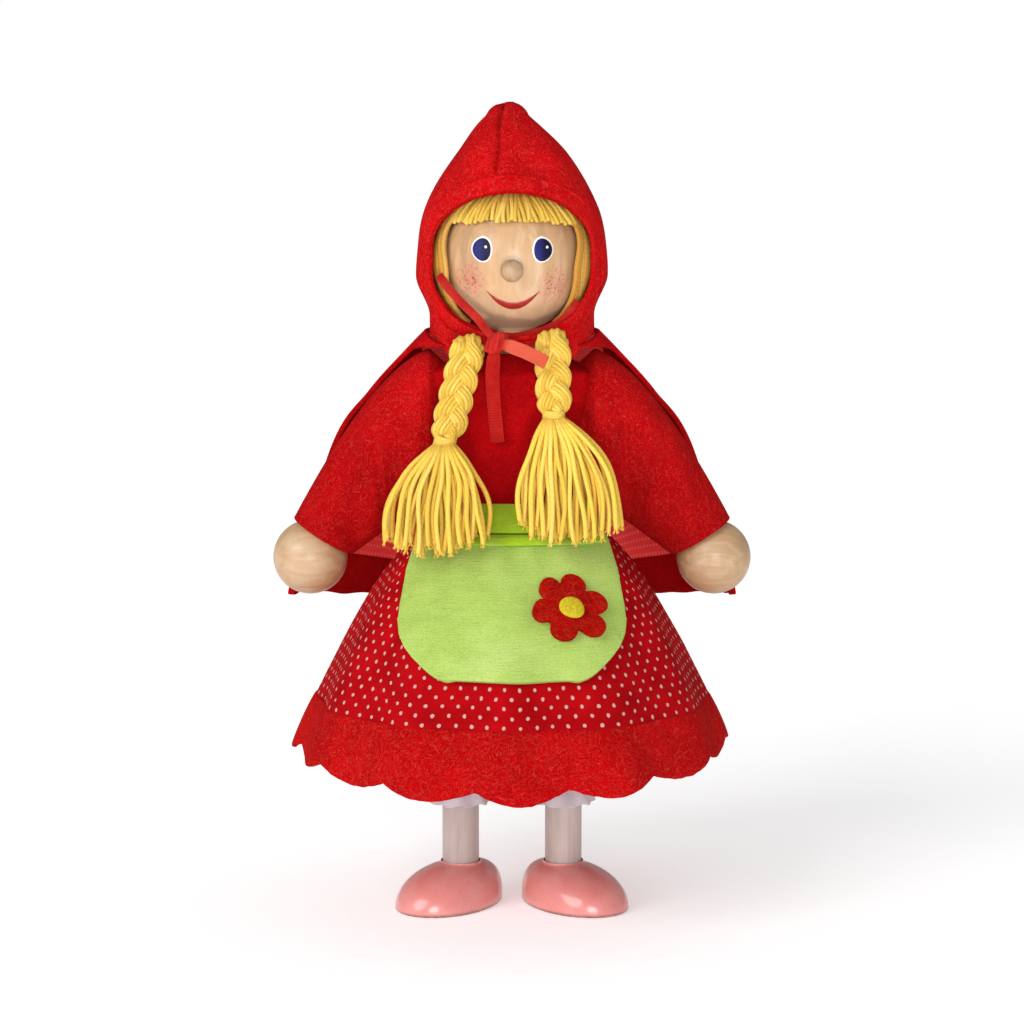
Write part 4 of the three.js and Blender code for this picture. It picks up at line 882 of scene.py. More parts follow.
class DOLL_OT_ribbon(bpy.types.Operator):
    """Lay the two ends of the hood's ribbon through their knot under the chin"""
    bl_idname = "doll.ribbon"
    bl_label = "Ribbon"

    def execute(self, context):
        pale = satin_finish("red_satin_pale_end", hue("loose_end"))
        plain = satin_finish("red_satin", tint(hue("satin"), 0.72))
        knot = self.knot(plain)
        first = self.strip("ribbon_to_left", RIBBON_TO_LEFT, pale)
        second = self.strip("ribbon_to_right", RIBBON_TO_RIGHT, plain)
        dress(first, "torso", "red_satin", "ribbon_strap_right", "ribbon_tail_left")
        dress(second, "torso", "red_satin", "ribbon_strap_left", "ribbon_tail_right")
        self.declare(first, RIBBON_TO_LEFT, [knot])
        self.declare(second, RIBBON_TO_RIGHT, [])
        return {'FINISHED'}

    def strip(self, name, route, satin):
        path = curve_points(route, 90)
        half = millimetres(sizes().ribbon_width) / 2
        last = len(path) - 1
        reach = sum((end - start).length for start, end in zip(path, path[1:]))

        def surface(across, along):
            index = int(round(along * last))
            run = (path[min(index + 1, last)] - path[max(index - 1, 0)]).normalized()
            outward = Vector((path[index].x * 0.5, -24, path[index].z - 158)).normalized()
            side = run.cross(outward).normalized()
            nearness = (path[index] - KNOT_CENTRE).length / 5.0
            squeeze = mix(0.45, 1.0, ease(nearness)) * mix(0.58, 1.0, ease((along - 0.42) / 0.2))
            crown = outward * (0.35 * math.cos((across - 0.5) * math.pi) + 0.12 * math.sin(along * 14))
            return path[index] + side * half * squeeze * (2 * across - 1) + crown

        piece = laid_piece(name, surface, (8, last), (1.0, reach), (0, 0, 158), satin)
        thicken(piece, sizes().ribbon_thickness, offset=0.0)
        return soften(piece, 0.00012)

    def knot(self, satin):
        """A bound loop of the same ribbon, with the folds of its winding."""
        def surface(across, along):
            turn = across * FULL_TURN
            rise = along * 2 - 1
            full = math.sqrt(max(0.0, 1 - abs(rise) ** 3))
            fold = 1 + 0.12 * math.sin(3 * turn + 2.5 * rise) * full
            wave = 0.3 * math.sin(turn * 2 + rise * 4)
            return KNOT_CENTRE + Vector((
                KNOT_SIZE.x * full * fold * math.cos(turn) + 0.7 * rise,
                KNOT_SIZE.y * full * fold * math.sin(turn),
                KNOT_SIZE.z * rise + wave * full,
            ))

        knot = laid_piece("ribbon_bow_knot", surface, (40, 28), (1.0, 7.0), KNOT_CENTRE, satin)
        return dress(knot, "torso", "red_satin", "ribbon_knot")

    def declare(self, piece, route, knots):
        path = curve_points(route, 36)


CHEEKS = ((-11.2, -14.7, 171.0), (11.6, -14.4, 169.6))
EYES = ((-7.8, 179.3), (8.0, 179.2))
MOUTH_CORNER_HEIGHT = 168.3
MOUTH_LOW_HEIGHT = 164.4
NOSE_TIP = Vector((0, -23.9, 173.9))
NOSE_LENGTH = 5.2
NOSE_RADIUS = 3.0
NOSE_PEG_RADIUS = 2.2
NECK_BORE_RADIUS = 4.25
NECK_BORE_END = -9.6


def on_face(x, z, lift):
    """A point on the head's front, lifted off its surface."""
    aside = Vector((x, 0, z - HEAD_CENTRE.z))
    depth = math.sqrt(HEAD_RADIUS ** 2 - aside.length_squared)
    outward = Vector((x, -depth, z - HEAD_CENTRE.z)).normalized()
    return HEAD_CENTRE + outward * (HEAD_RADIUS + lift)


class DOLL_OT_head(bpy.types.Operator):
    """Turn the head ball and the nose"""
    bl_idname = "doll.head"
    bl_label = "Head"

    def execute(self, context):
        maple = wood_finish("maple_head", hue("maple"), "Z", cheeks=CHEEKS)
        neck = NECK_BORE_RADIUS
        outline = [(0.0, NECK_BORE_END), (neck, NECK_BORE_END), (neck, -18.2), (neck + 0.5, -18.5)]
        start = math.asin((neck + 0.9) / HEAD_RADIUS)
        for step in range(41):
            turn = mix(start, math.pi, step / 40)
            outline.append((HEAD_RADIUS * math.sin(turn), -HEAD_RADIUS * math.cos(turn)))
        bm = bmesh.new()
        turned(bm, outline, HEAD_CENTRE, (0, 0, 1), 80)
        dress(make_piece("head_ball", bm, maple), "head", "maple", "head")
        bm = bmesh.new()
        dome = [(0.0, NOSE_LENGTH)]
        for step in range(1, 15):
            turn = step / 14 * math.pi * 0.62
            rise = NOSE_LENGTH - NOSE_RADIUS + NOSE_RADIUS * math.cos(turn)
            dome.append((NOSE_RADIUS * math.sin(turn), rise))
        dome += [(NOSE_PEG_RADIUS, 0.6), (NOSE_PEG_RADIUS, -0.4), (0.0, -0.4)]
        turned(bm, dome, NOSE_TIP + Vector((0, NOSE_LENGTH, 0)), (0, -1, 0), 40)
        # The nose's wood is a darker copy of the head's maple, as painted shade.
        nose = wood_finish("maple_nose", tint(hue("maple"), 0.7), "Z")
        dress(make_piece("nose_ball", bm, nose), "head", "maple", "nose")
        return {'FINISHED'}


class DOLL_OT_face_paint(bpy.types.Operator):
    """Paint the eyes and the mouth"""
    bl_idname = "doll.face_paint"
    bl_label = "Face paint"

    def execute(self, context):
        rim = face_paint_finish("eye_rim_paint", hue("eye_rim"), tint(hue("eye_rim"), 0.8))
        iris = iris_finish()
        lips = face_paint_finish("mouth_paint", hue("lips"), tint(hue("lips"), 0.55))
        wide = millimetres(sizes().eye_width) / 2
        high = millimetres(sizes().eye_height) / 2
        for name, (x, z) in zip(("right", "left"), EYES):
            self.dab("eye_rim_" + name, (x, z), (wide, high), 0.0, 0.16, rim)
            self.dab("eye_iris_" + name, (x, z - 0.1), (wide - 0.42, high - 0.48), 0.14, 0.3, iris)
            self.dab("eye_glint_" + name, (x + 1.05, z + 0.55), (0.36, 0.4), 0.26, 0.42, rim)
        self.mouth(lips)
        return {'FINISHED'}

    def dab(self, name, centre, reach, low, high, finish):
        """An oval of paint that rises from its edge."""
        def surface(across, along):
            turn = across * FULL_TURN
            rise = mix(low - 0.08, high, math.sqrt(max(0.0, 1 - along ** 6)))
            ripple = 1 + 0.035 * math.sin(turn * 3 + centre[0])
            return on_face(
                centre[0] + reach[0] * along * ripple * math.cos(turn),
                centre[1] + reach[1] * along * ripple * math.sin(turn), rise
            )

        bm = bmesh.new()
        lay(bm, surface, 36, 12)
        layer = bm.loops.layers.uv.verify()
        for face in bm.faces:
            for loop in face.loops:
                loop[layer].uv = (
                    0.5 + (loop.vert.co.x - centre[0]) / (2 * reach[0]),
                    0.5 + (loop.vert.co.z - centre[1]) / (2 * reach[1]),
                )
        close_up(bm, HEAD_CENTRE)
        return dress(make_piece(name, bm, finish), "head", "maple")

    def mouth(self, lips):
        half = millimetres(sizes().mouth_width) / 2

        def surface(across, along):
            aside = across * 2 - 1
            sag = 1 - aside * aside
            width = 0.12 + 0.9 * (1 - abs(aside) ** 2.5)
            height = mix(MOUTH_CORNER_HEIGHT, MOUTH_LOW_HEIGHT, sag) + width * (along * 2 - 1)
            crown = 1 - (along * 2 - 1) ** 2
            return on_face(0.3 + half * aside, height, -0.06 + 0.26 * math.sqrt(crown) * (0.4 + 0.6 * sag))

        return dress(laid_piece("mouth", surface, (48, 8), (1.0, 1.0), HEAD_CENTRE, lips), "head", "maple")


def head_point(angle, height, radius):
    """A point on a ball round the head: angle from the front, height over its centre."""
    level = math.sqrt(max(0.01, radius ** 2 - height ** 2))
    return HEAD_CENTRE + around(angle, level, height)


WIG_STRANDS = 76
WIG_FRONT = math.radians(54)
WIG_RADIUS = 20.35
WIG_TOP = 20.2
WIG_LOW = -16.4
FRINGE_HALF = 17.0
FRINGE_LOW = 187.1
FRINGE_RADIUS = 20.05


class DOLL_OT_hair(bpy.types.Operator):
    """Comb the yarn of the wig and the fringe"""
    bl_idname = "doll.hair"
    bl_label = "Hair"

    def execute(self, context):
        # The wig's yarn is darkened and leant to orange-brown as painted shade under the hood with a painted
        # red reflection from it, and the fringe's yarn is darkened as painted shade.
        shaded_side_yarn = yarn_finish("golden_yarn_wig", 0.62, 0.6)
        shaded_front_yarn = yarn_finish("golden_yarn_fringe", 0.76)
        dress(self.wig(shaded_side_yarn), "head", "golden_yarn", "wig")
        dress(self.fringe(shaded_front_yarn), "head", "golden_yarn", "fringe")
        return {'FINISHED'}

    def wig(self, yarn):
        """Strands from the crown down the sides and back of the head."""
        pick = random.Random(11)
        radius = millimetres(sizes().yarn_diameter) / 2
        bm = bmesh.new()
        for strand in range(WIG_STRANDS):
            angle = mix(WIG_FRONT, FULL_TURN - WIG_FRONT, strand / (WIG_STRANDS - 1))
            lift = 0.35 * pick.random() + 0.3 * (strand % 2)
            side = ease((math.cos(angle) + 0.1) / 0.5)
            points = []
            for step in range(17):
                share = step / 16
                height = mix(WIG_TOP, WIG_LOW, share ** 0.9)
                sway = math.radians(0.9 * math.sin(share * 5 + strand * 1.7))
                tuck = math.radians(9) * side * ease((share - 0.45) / 0.55)
                tuck += math.radians(12) * side * (1 - ease((share - 0.25) / 0.35))
                aside = tuck if angle < math.pi else -tuck
                points.append(head_point(angle + sway + aside, height, WIG_RADIUS + lift))
            sweep(bm, points, radius * 0.98, 6, strand)
        close_up(bm)
        return make_piece("wig_strands", bm, yarn)

    def fringe(self, yarn):
        """Two layers of short strands over the forehead."""
        pick = random.Random(4)
        radius = millimetres(sizes().yarn_diameter) / 2
        count = sizes().fringe_strands
        bm = bmesh.new()
        for strand in range(count):
            spread = strand / (count - 1) * 2 - 1
            layer = strand % 2
            low = FRINGE_LOW - 1.5 * spread * spread - 1.0 * pick.random() - HEAD_CENTRE.z
            reach = FRINGE_RADIUS + 0.55 * layer
            level = math.sqrt(reach * reach - low * low)
            swing = math.asin(clamp(abs(FRINGE_HALF * spread / level)))
            swing = swing if spread > 0 else -swing
            points = []
            for step in range(11):
                share = step / 10
                height = mix(19.2, low, share ** 0.8)
                bow = 0.5 * math.sin(share * math.pi)
                sway = math.radians(1.6 * math.sin(strand * 1.3 + share * 3))
                points.append(head_point(swing * mix(0.9, 1.0, share) + sway, height, reach + bow * 0.5))
            sweep(bm, points, radius * 0.82, 6, strand)
        close_up(bm)
        return make_piece("fringe_strands", bm, yarn)


BRAIDS = {
    "left": {
        "top": (10.7, -18.9, 154.8), "end": (10.9, -18.9, 136.0),
        "tip": (15.0, -31.6, 105.2), "spread": 13.4, "seed": 5,
    },
    "right": {
        "top": (-11.4, -18.9, 153.4), "end": (-17.6, -18.9, 129.0),
        "tip": (-20.0, -32.6, 102.2), "spread": 13.6, "seed": 8,
    },
}
PLAIT_LENGTH = 16.8
STRAND_YARNS = 11
PLAIT_HALF_WIDTH = 2.5
PLAIT_HALF_DEPTH = 1.25
STRAND_HALF_WIDTH = 1.85
STRAND_HALF_DEPTH = 1.5
STRAND_CORE_RADIUS = 1.5
BRAID_YARN_RADIUS = 0.54
TIE_TURNS = 5
TIE_HALF_WIDTH = 2.6
TIE_HALF_DEPTH = 2.4
TIE_YARN_RADIUS = 0.42
TASSEL_DEPTH = 3.0
PLAIT_BEND = ((0, 4.6, -1.4), (0, 3.4, 0.9), (0, 1.5, 1.7))


class DOLL_OT_braids(bpy.types.Operator):
    """Plait the two braids, tie them and spread their tassels"""
    bl_idname = "doll.braids"
    bl_label = "Braids"

    def execute(self, context):
        # The plait's yarn is a darker copy of the tassels' yarn, as painted shade.
        yarn = yarn_finish("golden_yarn_braid", 0.8)
        loose_yarn = yarn_finish("golden_yarn_tassel")
        for name, braid in BRAIDS.items():
            body = "braid_" + name
            dress(self.plait(name, braid, yarn), body, "golden_yarn", "braid_" + name)
            dress(self.tie(name, braid, yarn), body, "golden_yarn", "braid_tie_" + name)
            dress(self.tassel(name, braid, loose_yarn), body, "golden_yarn", "tassel_" + name)
        return {'FINISHED'}

    def plait(self, name, braid, yarn):
        """Three strands that bend over from the back and cross, each of several yarns round a core."""
        top = Vector(braid["top"]) + Vector((0, 0, 0.7))
        end = Vector(braid["end"]) + Vector((0, 0, -0.4))
        run = end - top
        steps = int(run.length * 2.2)
        bm = bmesh.new()
        for strand in range(3):
            for thread in range(STRAND_YARNS + 1):
                core = thread == STRAND_YARNS
                points = []
                for step in range(steps + 1):
                    share = step / steps
                    phase = run.length * share / PLAIT_LENGTH * FULL_TURN + strand * FULL_TURN / 3
                    close = mix(1.0, 0.42, ease((share - 0.84) / 0.16)) * mix(0.95, 1.0, ease(share / 0.16))
                    centre = top + run * share
                    centre += Vector((
                        PLAIT_HALF_WIDTH * math.sin(phase), -PLAIT_HALF_DEPTH * math.sin(2 * phase), 0
                    )) * close
                    slope = math.atan2(PLAIT_HALF_WIDTH * math.cos(phase) * FULL_TURN / PLAIT_LENGTH, 1.0)
                    turn = thread / STRAND_YARNS * FULL_TURN + 0.6 * share * FULL_TURN
                    wide = 0.0 if core else STRAND_HALF_WIDTH * math.cos(turn) * close
                    deep = 0.0 if core else STRAND_HALF_DEPTH * math.sin(turn) * close
                    points.append(
                        centre + Vector((wide * math.cos(slope), deep, wide * math.sin(slope)))
                    )
                dome = Vector((0, 0, -0.09 * (points[0].x - top.x) ** 2))
                over = [points[0] + Vector(bend) + dome for bend in PLAIT_BEND] + [points[0]]
                points = curve_points(over, 9)[:-1] + points
                radius = STRAND_CORE_RADIUS if core else BRAID_YARN_RADIUS
                sweep(bm, points, radius, 6, strand * (STRAND_YARNS + 1) + thread)
        close_up(bm)
        return make_piece("braid_plait_" + name, bm, yarn)

    def tie(self, name, braid, yarn):
        """Turns of yarn wound round the end of the braid."""
        end = Vector(braid["end"])
        run = (end - Vector(braid["top"])).normalized()
        side = run.cross(Vector((0, 1, 0))).normalized()
        front = side.cross(run)
        points = []
        for step in range(TIE_TURNS * 20 + 1):
            share = step / (TIE_TURNS * 20)
            turn = share * TIE_TURNS * FULL_TURN
            place = end + run * mix(-1.3, 1.7, share)
            round_it = side * TIE_HALF_WIDTH * math.cos(turn) + front * TIE_HALF_DEPTH * math.sin(turn)
            points.append(place + round_it)
        bm = bmesh.new()
        sweep(bm, points, TIE_YARN_RADIUS, 8, 3)
        close_up(bm)
        return make_piece("braid_wrap_" + name, bm, yarn)

    def tassel(self, name, braid, yarn):
        """Loose ends of the braid that spring out from the tie and hang down, gently waved."""
        pick = random.Random(braid["seed"])
        end = Vector(braid["end"]) + (Vector(braid["end"]) - Vector(braid["top"])).normalized() * 0.9
        tip = Vector(braid["tip"])
        radius = millimetres(sizes().yarn_diameter) / 2
        bm = bmesh.new()
        count = sizes().tassel_strands
        for strand in range(count):
            spread = (strand + 0.5) / count * 2 - 1
            layer = (strand * 7 % 5) / 4 * 2 - 1
            goal = tip + Vector((
                braid["spread"] * spread * mix(0.9, 1.06, pick.random()), TASSEL_DEPTH * layer,
                pick.uniform(-1.4, 2.2) + 3.6 * spread * spread,
            ))
            start = end + Vector((2.3 * spread, 1.7 * layer, 0))
            wave = pick.uniform(0.25, 0.8)
            phase = pick.uniform(0, FULL_TURN)
            points = []
            for step in range(17):
                share = step / 16
                fan = 1 - (1 - share) ** 2.4
                place = Vector((
                    mix(start.x, goal.x, fan),
                    mix(start.y, goal.y, share ** 0.45),
                    mix(start.z, goal.z, share ** 1.12),
                ))
                ripple = wave * math.sin(share * 7 + phase) * ease(share * 2)
                place += Vector((ripple, 0.3 * ripple * math.cos(phase), 0))
                points.append(place)
            sweep(bm, points, radius * pick.uniform(0.84, 1.02), 6, strand)
            self.fray(bm, points, strand, pick)
        close_up(bm)
        return make_piece("tassel_strands_" + name, bm, yarn)

    def fray(self, bm, points, strand, pick):
        """Fine fibres that stand out of a cut end."""
        run = (points[-1] - points[-2]).normalized()
        for fibre in range(4):
            stray = Vector((pick.uniform(-0.6, 0.6), pick.uniform(-0.6, 0.6), 0))
            start = points[-1] - run * 0.6 + stray * 0.5
            sweep(bm, (start, start + run * 0.7 + stray * 0.2, start + run * 1.5 + stray), 0.2, 4, strand)


def dent(point, scale, depth, seed=0.0):
    """A soft unevenness of hand-sewn cloth."""
    return depth * noise.noise(Vector((point.x * scale + seed, point.y * scale, point.z * scale)))


HOOD_BASE = 154.0
HOOD_HEM = 150.0
HOOD_HEM_SIDE = 156.0
HOOD_HEM_CHIN = 154.9
CHIN_EDGE_WIDTH = 2.2
HOOD_WIDEST = 173.0
HOOD_PEAK = 219.0
HOOD_TOP = 217.4
HOOD_TIP = 213.0
HOOD_NECK = 22.3
HOOD_HALF = 26.0
HOOD_TIP_HALF = 5.6
HOOD_BACK = 21.5
HOOD_FRONT = 17.5
OPENING_HALF = 22.2
OPENING_TOP = 194.5
OPENING_SHOULDER = 178.0
OPENING_CHEEK = 173.0
OPENING_LOW = 156.4
OPENING_ARCH_RUN = 30.5
OPENING_CHIN_RUN = 30.5
EDGE_WIDTH = 5.0
FACE_MIDDLE = 172.0


def hood_half_width(z):
    up = clamp((z - HOOD_WIDEST) / (HOOD_PEAK - HOOD_WIDEST))
    cone = HOOD_HALF * (1 - up * up)
    if z > HOOD_TIP:
        cone = max(cone, HOOD_TIP_HALF * math.sqrt(max(0.0, 1 - ((z - HOOD_TIP) / 4.6) ** 2)))
    return mix(cone, HOOD_NECK, ease((HOOD_WIDEST - 1 - z) / 11))


def hood_point(angle, z, outward=0.0):
    """A point on the hood's outer face: angle from the front."""
    down = clamp((HOOD_WIDEST - z) / (HOOD_WIDEST - HOOD_BASE))
    half_width = hood_half_width(z)
    back = mix(half_width, HOOD_BACK, down ** 1.4) + outward
    slope = clamp((z - OPENING_TOP) / (HOOD_PEAK - OPENING_TOP))
    front = max(mix(HOOD_FRONT, 0.0, slope ** 1.3), min(half_width * 0.8, HOOD_FRONT)) + outward
    side = -4.0 * down
    reach = front + side if math.cos(angle) > 0 else back - side
    return Vector(((half_width + outward) * math.sin(angle), side - reach * math.cos(angle), z))


def opening_angle(z):
    """Angle from the front at which the hood's face opening ends."""
    if z > OPENING_SHOULDER:
        rise = (z - OPENING_SHOULDER) / (OPENING_TOP - OPENING_SHOULDER)
    else:
        rise = max(0.0, (OPENING_CHEEK - z) / (OPENING_CHEEK - OPENING_LOW))
    half = OPENING_HALF * math.sqrt(max(0.0, 1 - rise * rise))
    return math.asin(clamp(half / hood_half_width(z)))


def hood_hem(turn):
    """Height of the hood's hem: short under the chin, long beside it, and up to the cape at the sides."""
    from_front = 180 - abs(math.degrees(turn) - 180)
    beside = mix(HOOD_HEM, HOOD_HEM_SIDE, ease((from_front - 42) / 28))
    return mix(HOOD_HEM_CHIN, beside, ease((from_front - 16) / 10))


def seam_place(z):
    """How far aside of the middle the hood's front seam runs."""
    return mix(-5.0, -1.9, clamp((z - OPENING_TOP) / 22)) * ease((z - OPENING_TOP) / 3.5)


def from_face(point):
    """The way out from the middle of the head to a point on the hood."""
    return Vector((point.x, point.y, (point.z - FACE_MIDDLE) * 0.6)).normalized()


class DOLL_OT_hood(bpy.types.Operator):
    """Sew the two puffed halves of the hood and its folded edge"""
    bl_idname = "doll.hood"
    bl_label = "Hood"

    def execute(self, context):
        # The hood's felt is a lighter copy of the red felt as painted light, with lighter fibres as painted
        # sheen.
        felt = felt_finish("hood_felt", tint(hue("felt"), 1.16), linear(246, 90, 76))
        hood = laid_piece(
            "hood_shell", self.surface, (168, 100), (160.0, 64.0), (0, 0, 180), felt, merge=0.02
        )
        sewn(hood, sizes().felt_thickness, FELT_EDGE, "red_felt", "hood")
        edge = self.folded_edge(felt)
        return {'FINISHED'}

    def surface(self, across, along):
        """Cloth that starts and ends at the opening, and above it at the front seam."""
        spread = across - 0.9 * math.sin(across * FULL_TURN) / FULL_TURN
        z = mix(hood_hem(spread * FULL_TURN), HOOD_TOP, along)
        start = opening_angle(z)
        aside = math.asin(max(-1.0, min(1.0, seam_place(z) / max(1.0, hood_half_width(z)))))
        angle = mix(start, FULL_TURN - start, spread) + aside
        point = hood_point(angle, z)
        flat = Vector((point.x, point.y, 0))
        distance = max(0.3, flat.length)
        high = ease((z - OPENING_TOP - 4.2) / 1.2)
        seam = bell((point.x - seam_place(z)) / 0.5) * high if point.y < 0 else 0.0
        back_seam = bell(point.x / 1.6) if point.y > 0 else 0.0
        puff = 0.8 * ease((z - 176) / 14) * (1 - seam) * ease((HOOD_PEAK - z) / 8)
        fold = 0.45 * math.sin(point.x * 0.3 + z * 0.55) * ease((z - 196) / 6) * ease((210 - z) / 8)
        fold *= ease((math.cos(angle) - 0.3) / 0.4) * ease((point.x + 4) / 8)
        sunk = min(1.0 * seam + 0.5 * back_seam, distance * 0.5)
        moved = puff + fold + dent(point, 0.075, 0.3) - sunk - 0.4
        notch = 1.6 * bell((point.x - seam_place(z)) / 0.8) * ease((z - 210) / 6)
        leaning = 1.1 * ease((z - 204) / 10)
        return point + flat / distance * moved - Vector((leaning, 0, notch))

    def edge_line(self, share, inset):
        """Points from under the chin up one side of the opening, over its top and down the other."""
        sides = OPENING_SHOULDER - OPENING_CHEEK
        half = OPENING_CHIN_RUN + sides + OPENING_ARCH_RUN
        place = share * 2 * half
        mirrored = place > half
        run = 2 * half - place if mirrored else place
        wide = OPENING_HALF + inset * 0.7
        if run < OPENING_CHIN_RUN:
            swing = run / OPENING_CHIN_RUN * math.pi / 2
            x = wide * math.sin(swing)
            z = OPENING_CHEEK - (OPENING_CHEEK - OPENING_LOW + inset) * math.cos(swing)
        elif run < OPENING_CHIN_RUN + sides:
            x = wide
            z = OPENING_CHEEK + run - OPENING_CHIN_RUN
        else:
            swing = (run - OPENING_CHIN_RUN - sides) / OPENING_ARCH_RUN * math.pi / 2
            x = wide * math.cos(swing)
            z = OPENING_SHOULDER + (OPENING_TOP + inset - OPENING_SHOULDER) * math.sin(swing)
        angle = math.asin(clamp(x / hood_half_width(z)))
        return hood_point(-angle if mirrored else angle, z, -0.4)

    def folded_edge(self, felt):
        """The hem turned in round the face, thick at its fold."""
        def surface(across, along):
            width = mix(EDGE_WIDTH, CHIN_EDGE_WIDTH, ease((0.1 - min(along, 1 - along)) / 0.04))
            point = self.edge_line(along, mix(-0.7, width, across))
            turned_in = 4.2 * (1 - ease(across / 0.72))
            swell = 1.7 * math.sin(clamp(across * 1.03) * math.pi) ** 0.65
            stitch = 0.5 * bell((across - 0.8) / 0.05) + 0.4 * bell((across - 0.45) / 0.07)
            seam = bell((point.x + 5.0) / 0.4) if point.z > OPENING_SHOULDER else 0.0
            outer = ease((abs(point.x) / hood_half_width(point.z) - 0.78) / 0.2)
            lift = (swell + dent(point, 0.25, 0.4, 3.0)) * (1 - 0.75 * outer) - stitch - 0.55 * seam - 0.3
            return point + from_face(point) * lift + Vector((0, turned_in, 0))

        edge = laid_piece("hood_hem", surface, (24, 300), (5.0, 138.0), (0, 0, 175), felt, merge=0.05)
        return sewn(edge, 0.0009, 0.0002, "red_felt")


def shoulder_line(share):
    return (
        SHOULDER_TIP * (1 - share) ** 2 + SHOULDER_BEND * 2 * share * (1 - share) + CUFF_TOP * share ** 2
    )


def underarm_line(share):
    return UNDERARM_TOP.lerp(CUFF_BOTTOM, share)


WAIST_HALF_WIDTH = 14.8
WAIST_HALF_DEPTH = 11.3
HEM_HALF_WIDTH = 58.9
HEM_HALF_DEPTH = 60.0
FLARE = 0.55
FLARE_START = 0.03
SKIRT_FOLDS = 12
SKIRT_FOLD_DEPTH = 1.3


def skirt_radius(angle, z):
    drop = clamp((SKIRT_TOP - z) / (SKIRT_TOP - SKIRT_HEM))
    top_flare = FLARE_START ** FLARE
    spread = ((drop + FLARE_START) ** FLARE - top_flare) / ((1 + FLARE_START) ** FLARE - top_flare)
    half_width = mix(WAIST_HALF_WIDTH, HEM_HALF_WIDTH, spread)
    half_depth = mix(WAIST_HALF_DEPTH, HEM_HALF_DEPTH, spread)
    squareness = mix(3.2, 2.0, spread)
    across = abs(math.sin(angle) / half_width) ** squareness
    through = abs(math.cos(angle) / half_depth) ** squareness
    return (across + through) ** (-1 / squareness) + SKIRT_FOLD_DEPTH * drop * math.cos(SKIRT_FOLDS * angle)


def skirt_point(angle, z, outward):
    radius = skirt_radius(angle, z) + outward
    return around(angle, radius, z)


CAPE_CORNER = Vector((60.8, 14.5, 82.6))
CAPE_EDGE = (
    Vector((22.5, -4.0, 157.2)),
    shoulder_line(0.2) + Vector((0, 2.0, 2.4)),
    shoulder_line(0.48) + Vector((0, 7.0, 1.0)),
    shoulder_line(0.76) + Vector((0, 12.5, 0.2)),
    CAPE_CORNER,
)
CAPE_SPINE_TOP = Vector((0, 22.4, 157.2))
CAPE_SPINE_BEND = Vector((0, 25.5, 122.2))
CAPE_SPINE_END = Vector((0, skirt_radius(math.pi, 76.0) + 4, 76.0))
CAPE_EDGE_STEPS = 240
CAPE_EDGE_CURVE = curve_points(CAPE_EDGE, CAPE_EDGE_STEPS)
CAPE_BAND_SHARE = 0.925
CAPE_WRAP = math.radians(38)
CAPE_NECK_DEPTH = 14.2
CAPE_NECK_DROP = 6.0
CAPE_WIDTH = 130.0
FACING_WIDTH = 19.0
FACING_SLOT = 2


def cape_point(across, along, outward=0.0):
    """A point on the cape's middle layer, from its right edge round the back to its left one."""
    edge = CAPE_EDGE_CURVE[min(CAPE_EDGE_STEPS, int(round(along * CAPE_EDGE_STEPS)))]
    spine = (
        CAPE_SPINE_TOP * (1 - along) ** 2
        + CAPE_SPINE_BEND * 2 * along * (1 - along)
        + CAPE_SPINE_END * along ** 2
    )
    wrap = CAPE_WRAP * (1 - ease(along / 0.26))
    turn = (across - 0.5) * (math.pi + 2 * wrap)
    through = spine.y - edge.y if math.cos(turn) > 0 else CAPE_NECK_DEPTH
    rise = 1.0 if math.cos(turn) < 0 else abs(math.sin(turn)) ** 1.5
    fold = 2.2 * along * math.cos(10 * turn) * math.cos(turn)
    point = Vector((
        edge.x * math.sin(turn),
        edge.y + through * math.cos(turn) + fold,
        mix(spine.z, edge.z, rise) + CAPE_NECK_DROP * min(0.0, math.cos(turn)),
    ))
    away = Vector((math.sin(turn), math.cos(turn), 0.25)).normalized()
    return point + away * outward


class DOLL_OT_cape(bpy.types.Operator):
    """Hang the cape with its knitted lining and plain hem band"""
    bl_idname = "doll.cape"
    bl_label = "Cape"

    def execute(self, context):
        felt = felt_finish("cape_felt", hue("felt"), linear(232, 52, 46))
        lining = lining_finish()

        def surface(across, along):
            point = cape_point(across, along * CAPE_BAND_SHARE, 0.7)
            soft = dent(point, 0.09, 0.6, 7.0) * ease(along * 3)
            return point + Vector((0, soft, 0))

        bm = bmesh.new()
        lay(bm, surface, 132, 66, (CAPE_WIDTH, 72.0))
        layer = bm.loops.layers.uv.active
        for face in bm.faces:
            across = face.loops[0][layer].uv.x
            if min(across, CAPE_WIDTH - across) < FACING_WIDTH:
                face.material_index = FACING_SLOT
        close_up(bm, (0, -40, 120))
        cape = make_piece("cape_cloth", bm, felt, lining, felt)
        thicken(cape, sizes().felt_thickness, inner=1)
        soften(cape, FELT_EDGE)
        dress(cape, "torso", "red_felt", "cape")
        band = self.band(felt)
        return {'FINISHED'}

    def band(self, felt):
        """The turned-up hem, a little thicker than the cloth above it."""
        def surface(across, along):
            share = mix(CAPE_BAND_SHARE - 0.018, 1.0, along)
            swell = 0.35 * math.sin(along * math.pi) ** 0.6
            point = cape_point(across, share, 0.9 + swell)
            ragged = 0.5 * noise.noise(Vector((across * 26, 0.3, 4.0))) * ease((along - 0.7) / 0.3)
            return point + Vector((0, 0, ragged))

        band = laid_piece("cape_hem_band", surface, (132, 12), (CAPE_WIDTH, 7.0), (0, -40, 90), felt)
        return sewn(band, 0.0021, 0.0004, "red_felt", "cape_hem")


TORSO_STATIONS = ((14.5, 11.0, 110.0), (20.0, 12.5, 139.75), (20.0, 12.5, 146.25), (13.0, 9.0, 149.5))


BODICE_SQUARENESS = 3.2
BODICE_CLEARANCE = 1.7
BODICE_BOTTOM = 110.1
BODICE_TOP = 149.5
BODICE_SHARE = 0.93


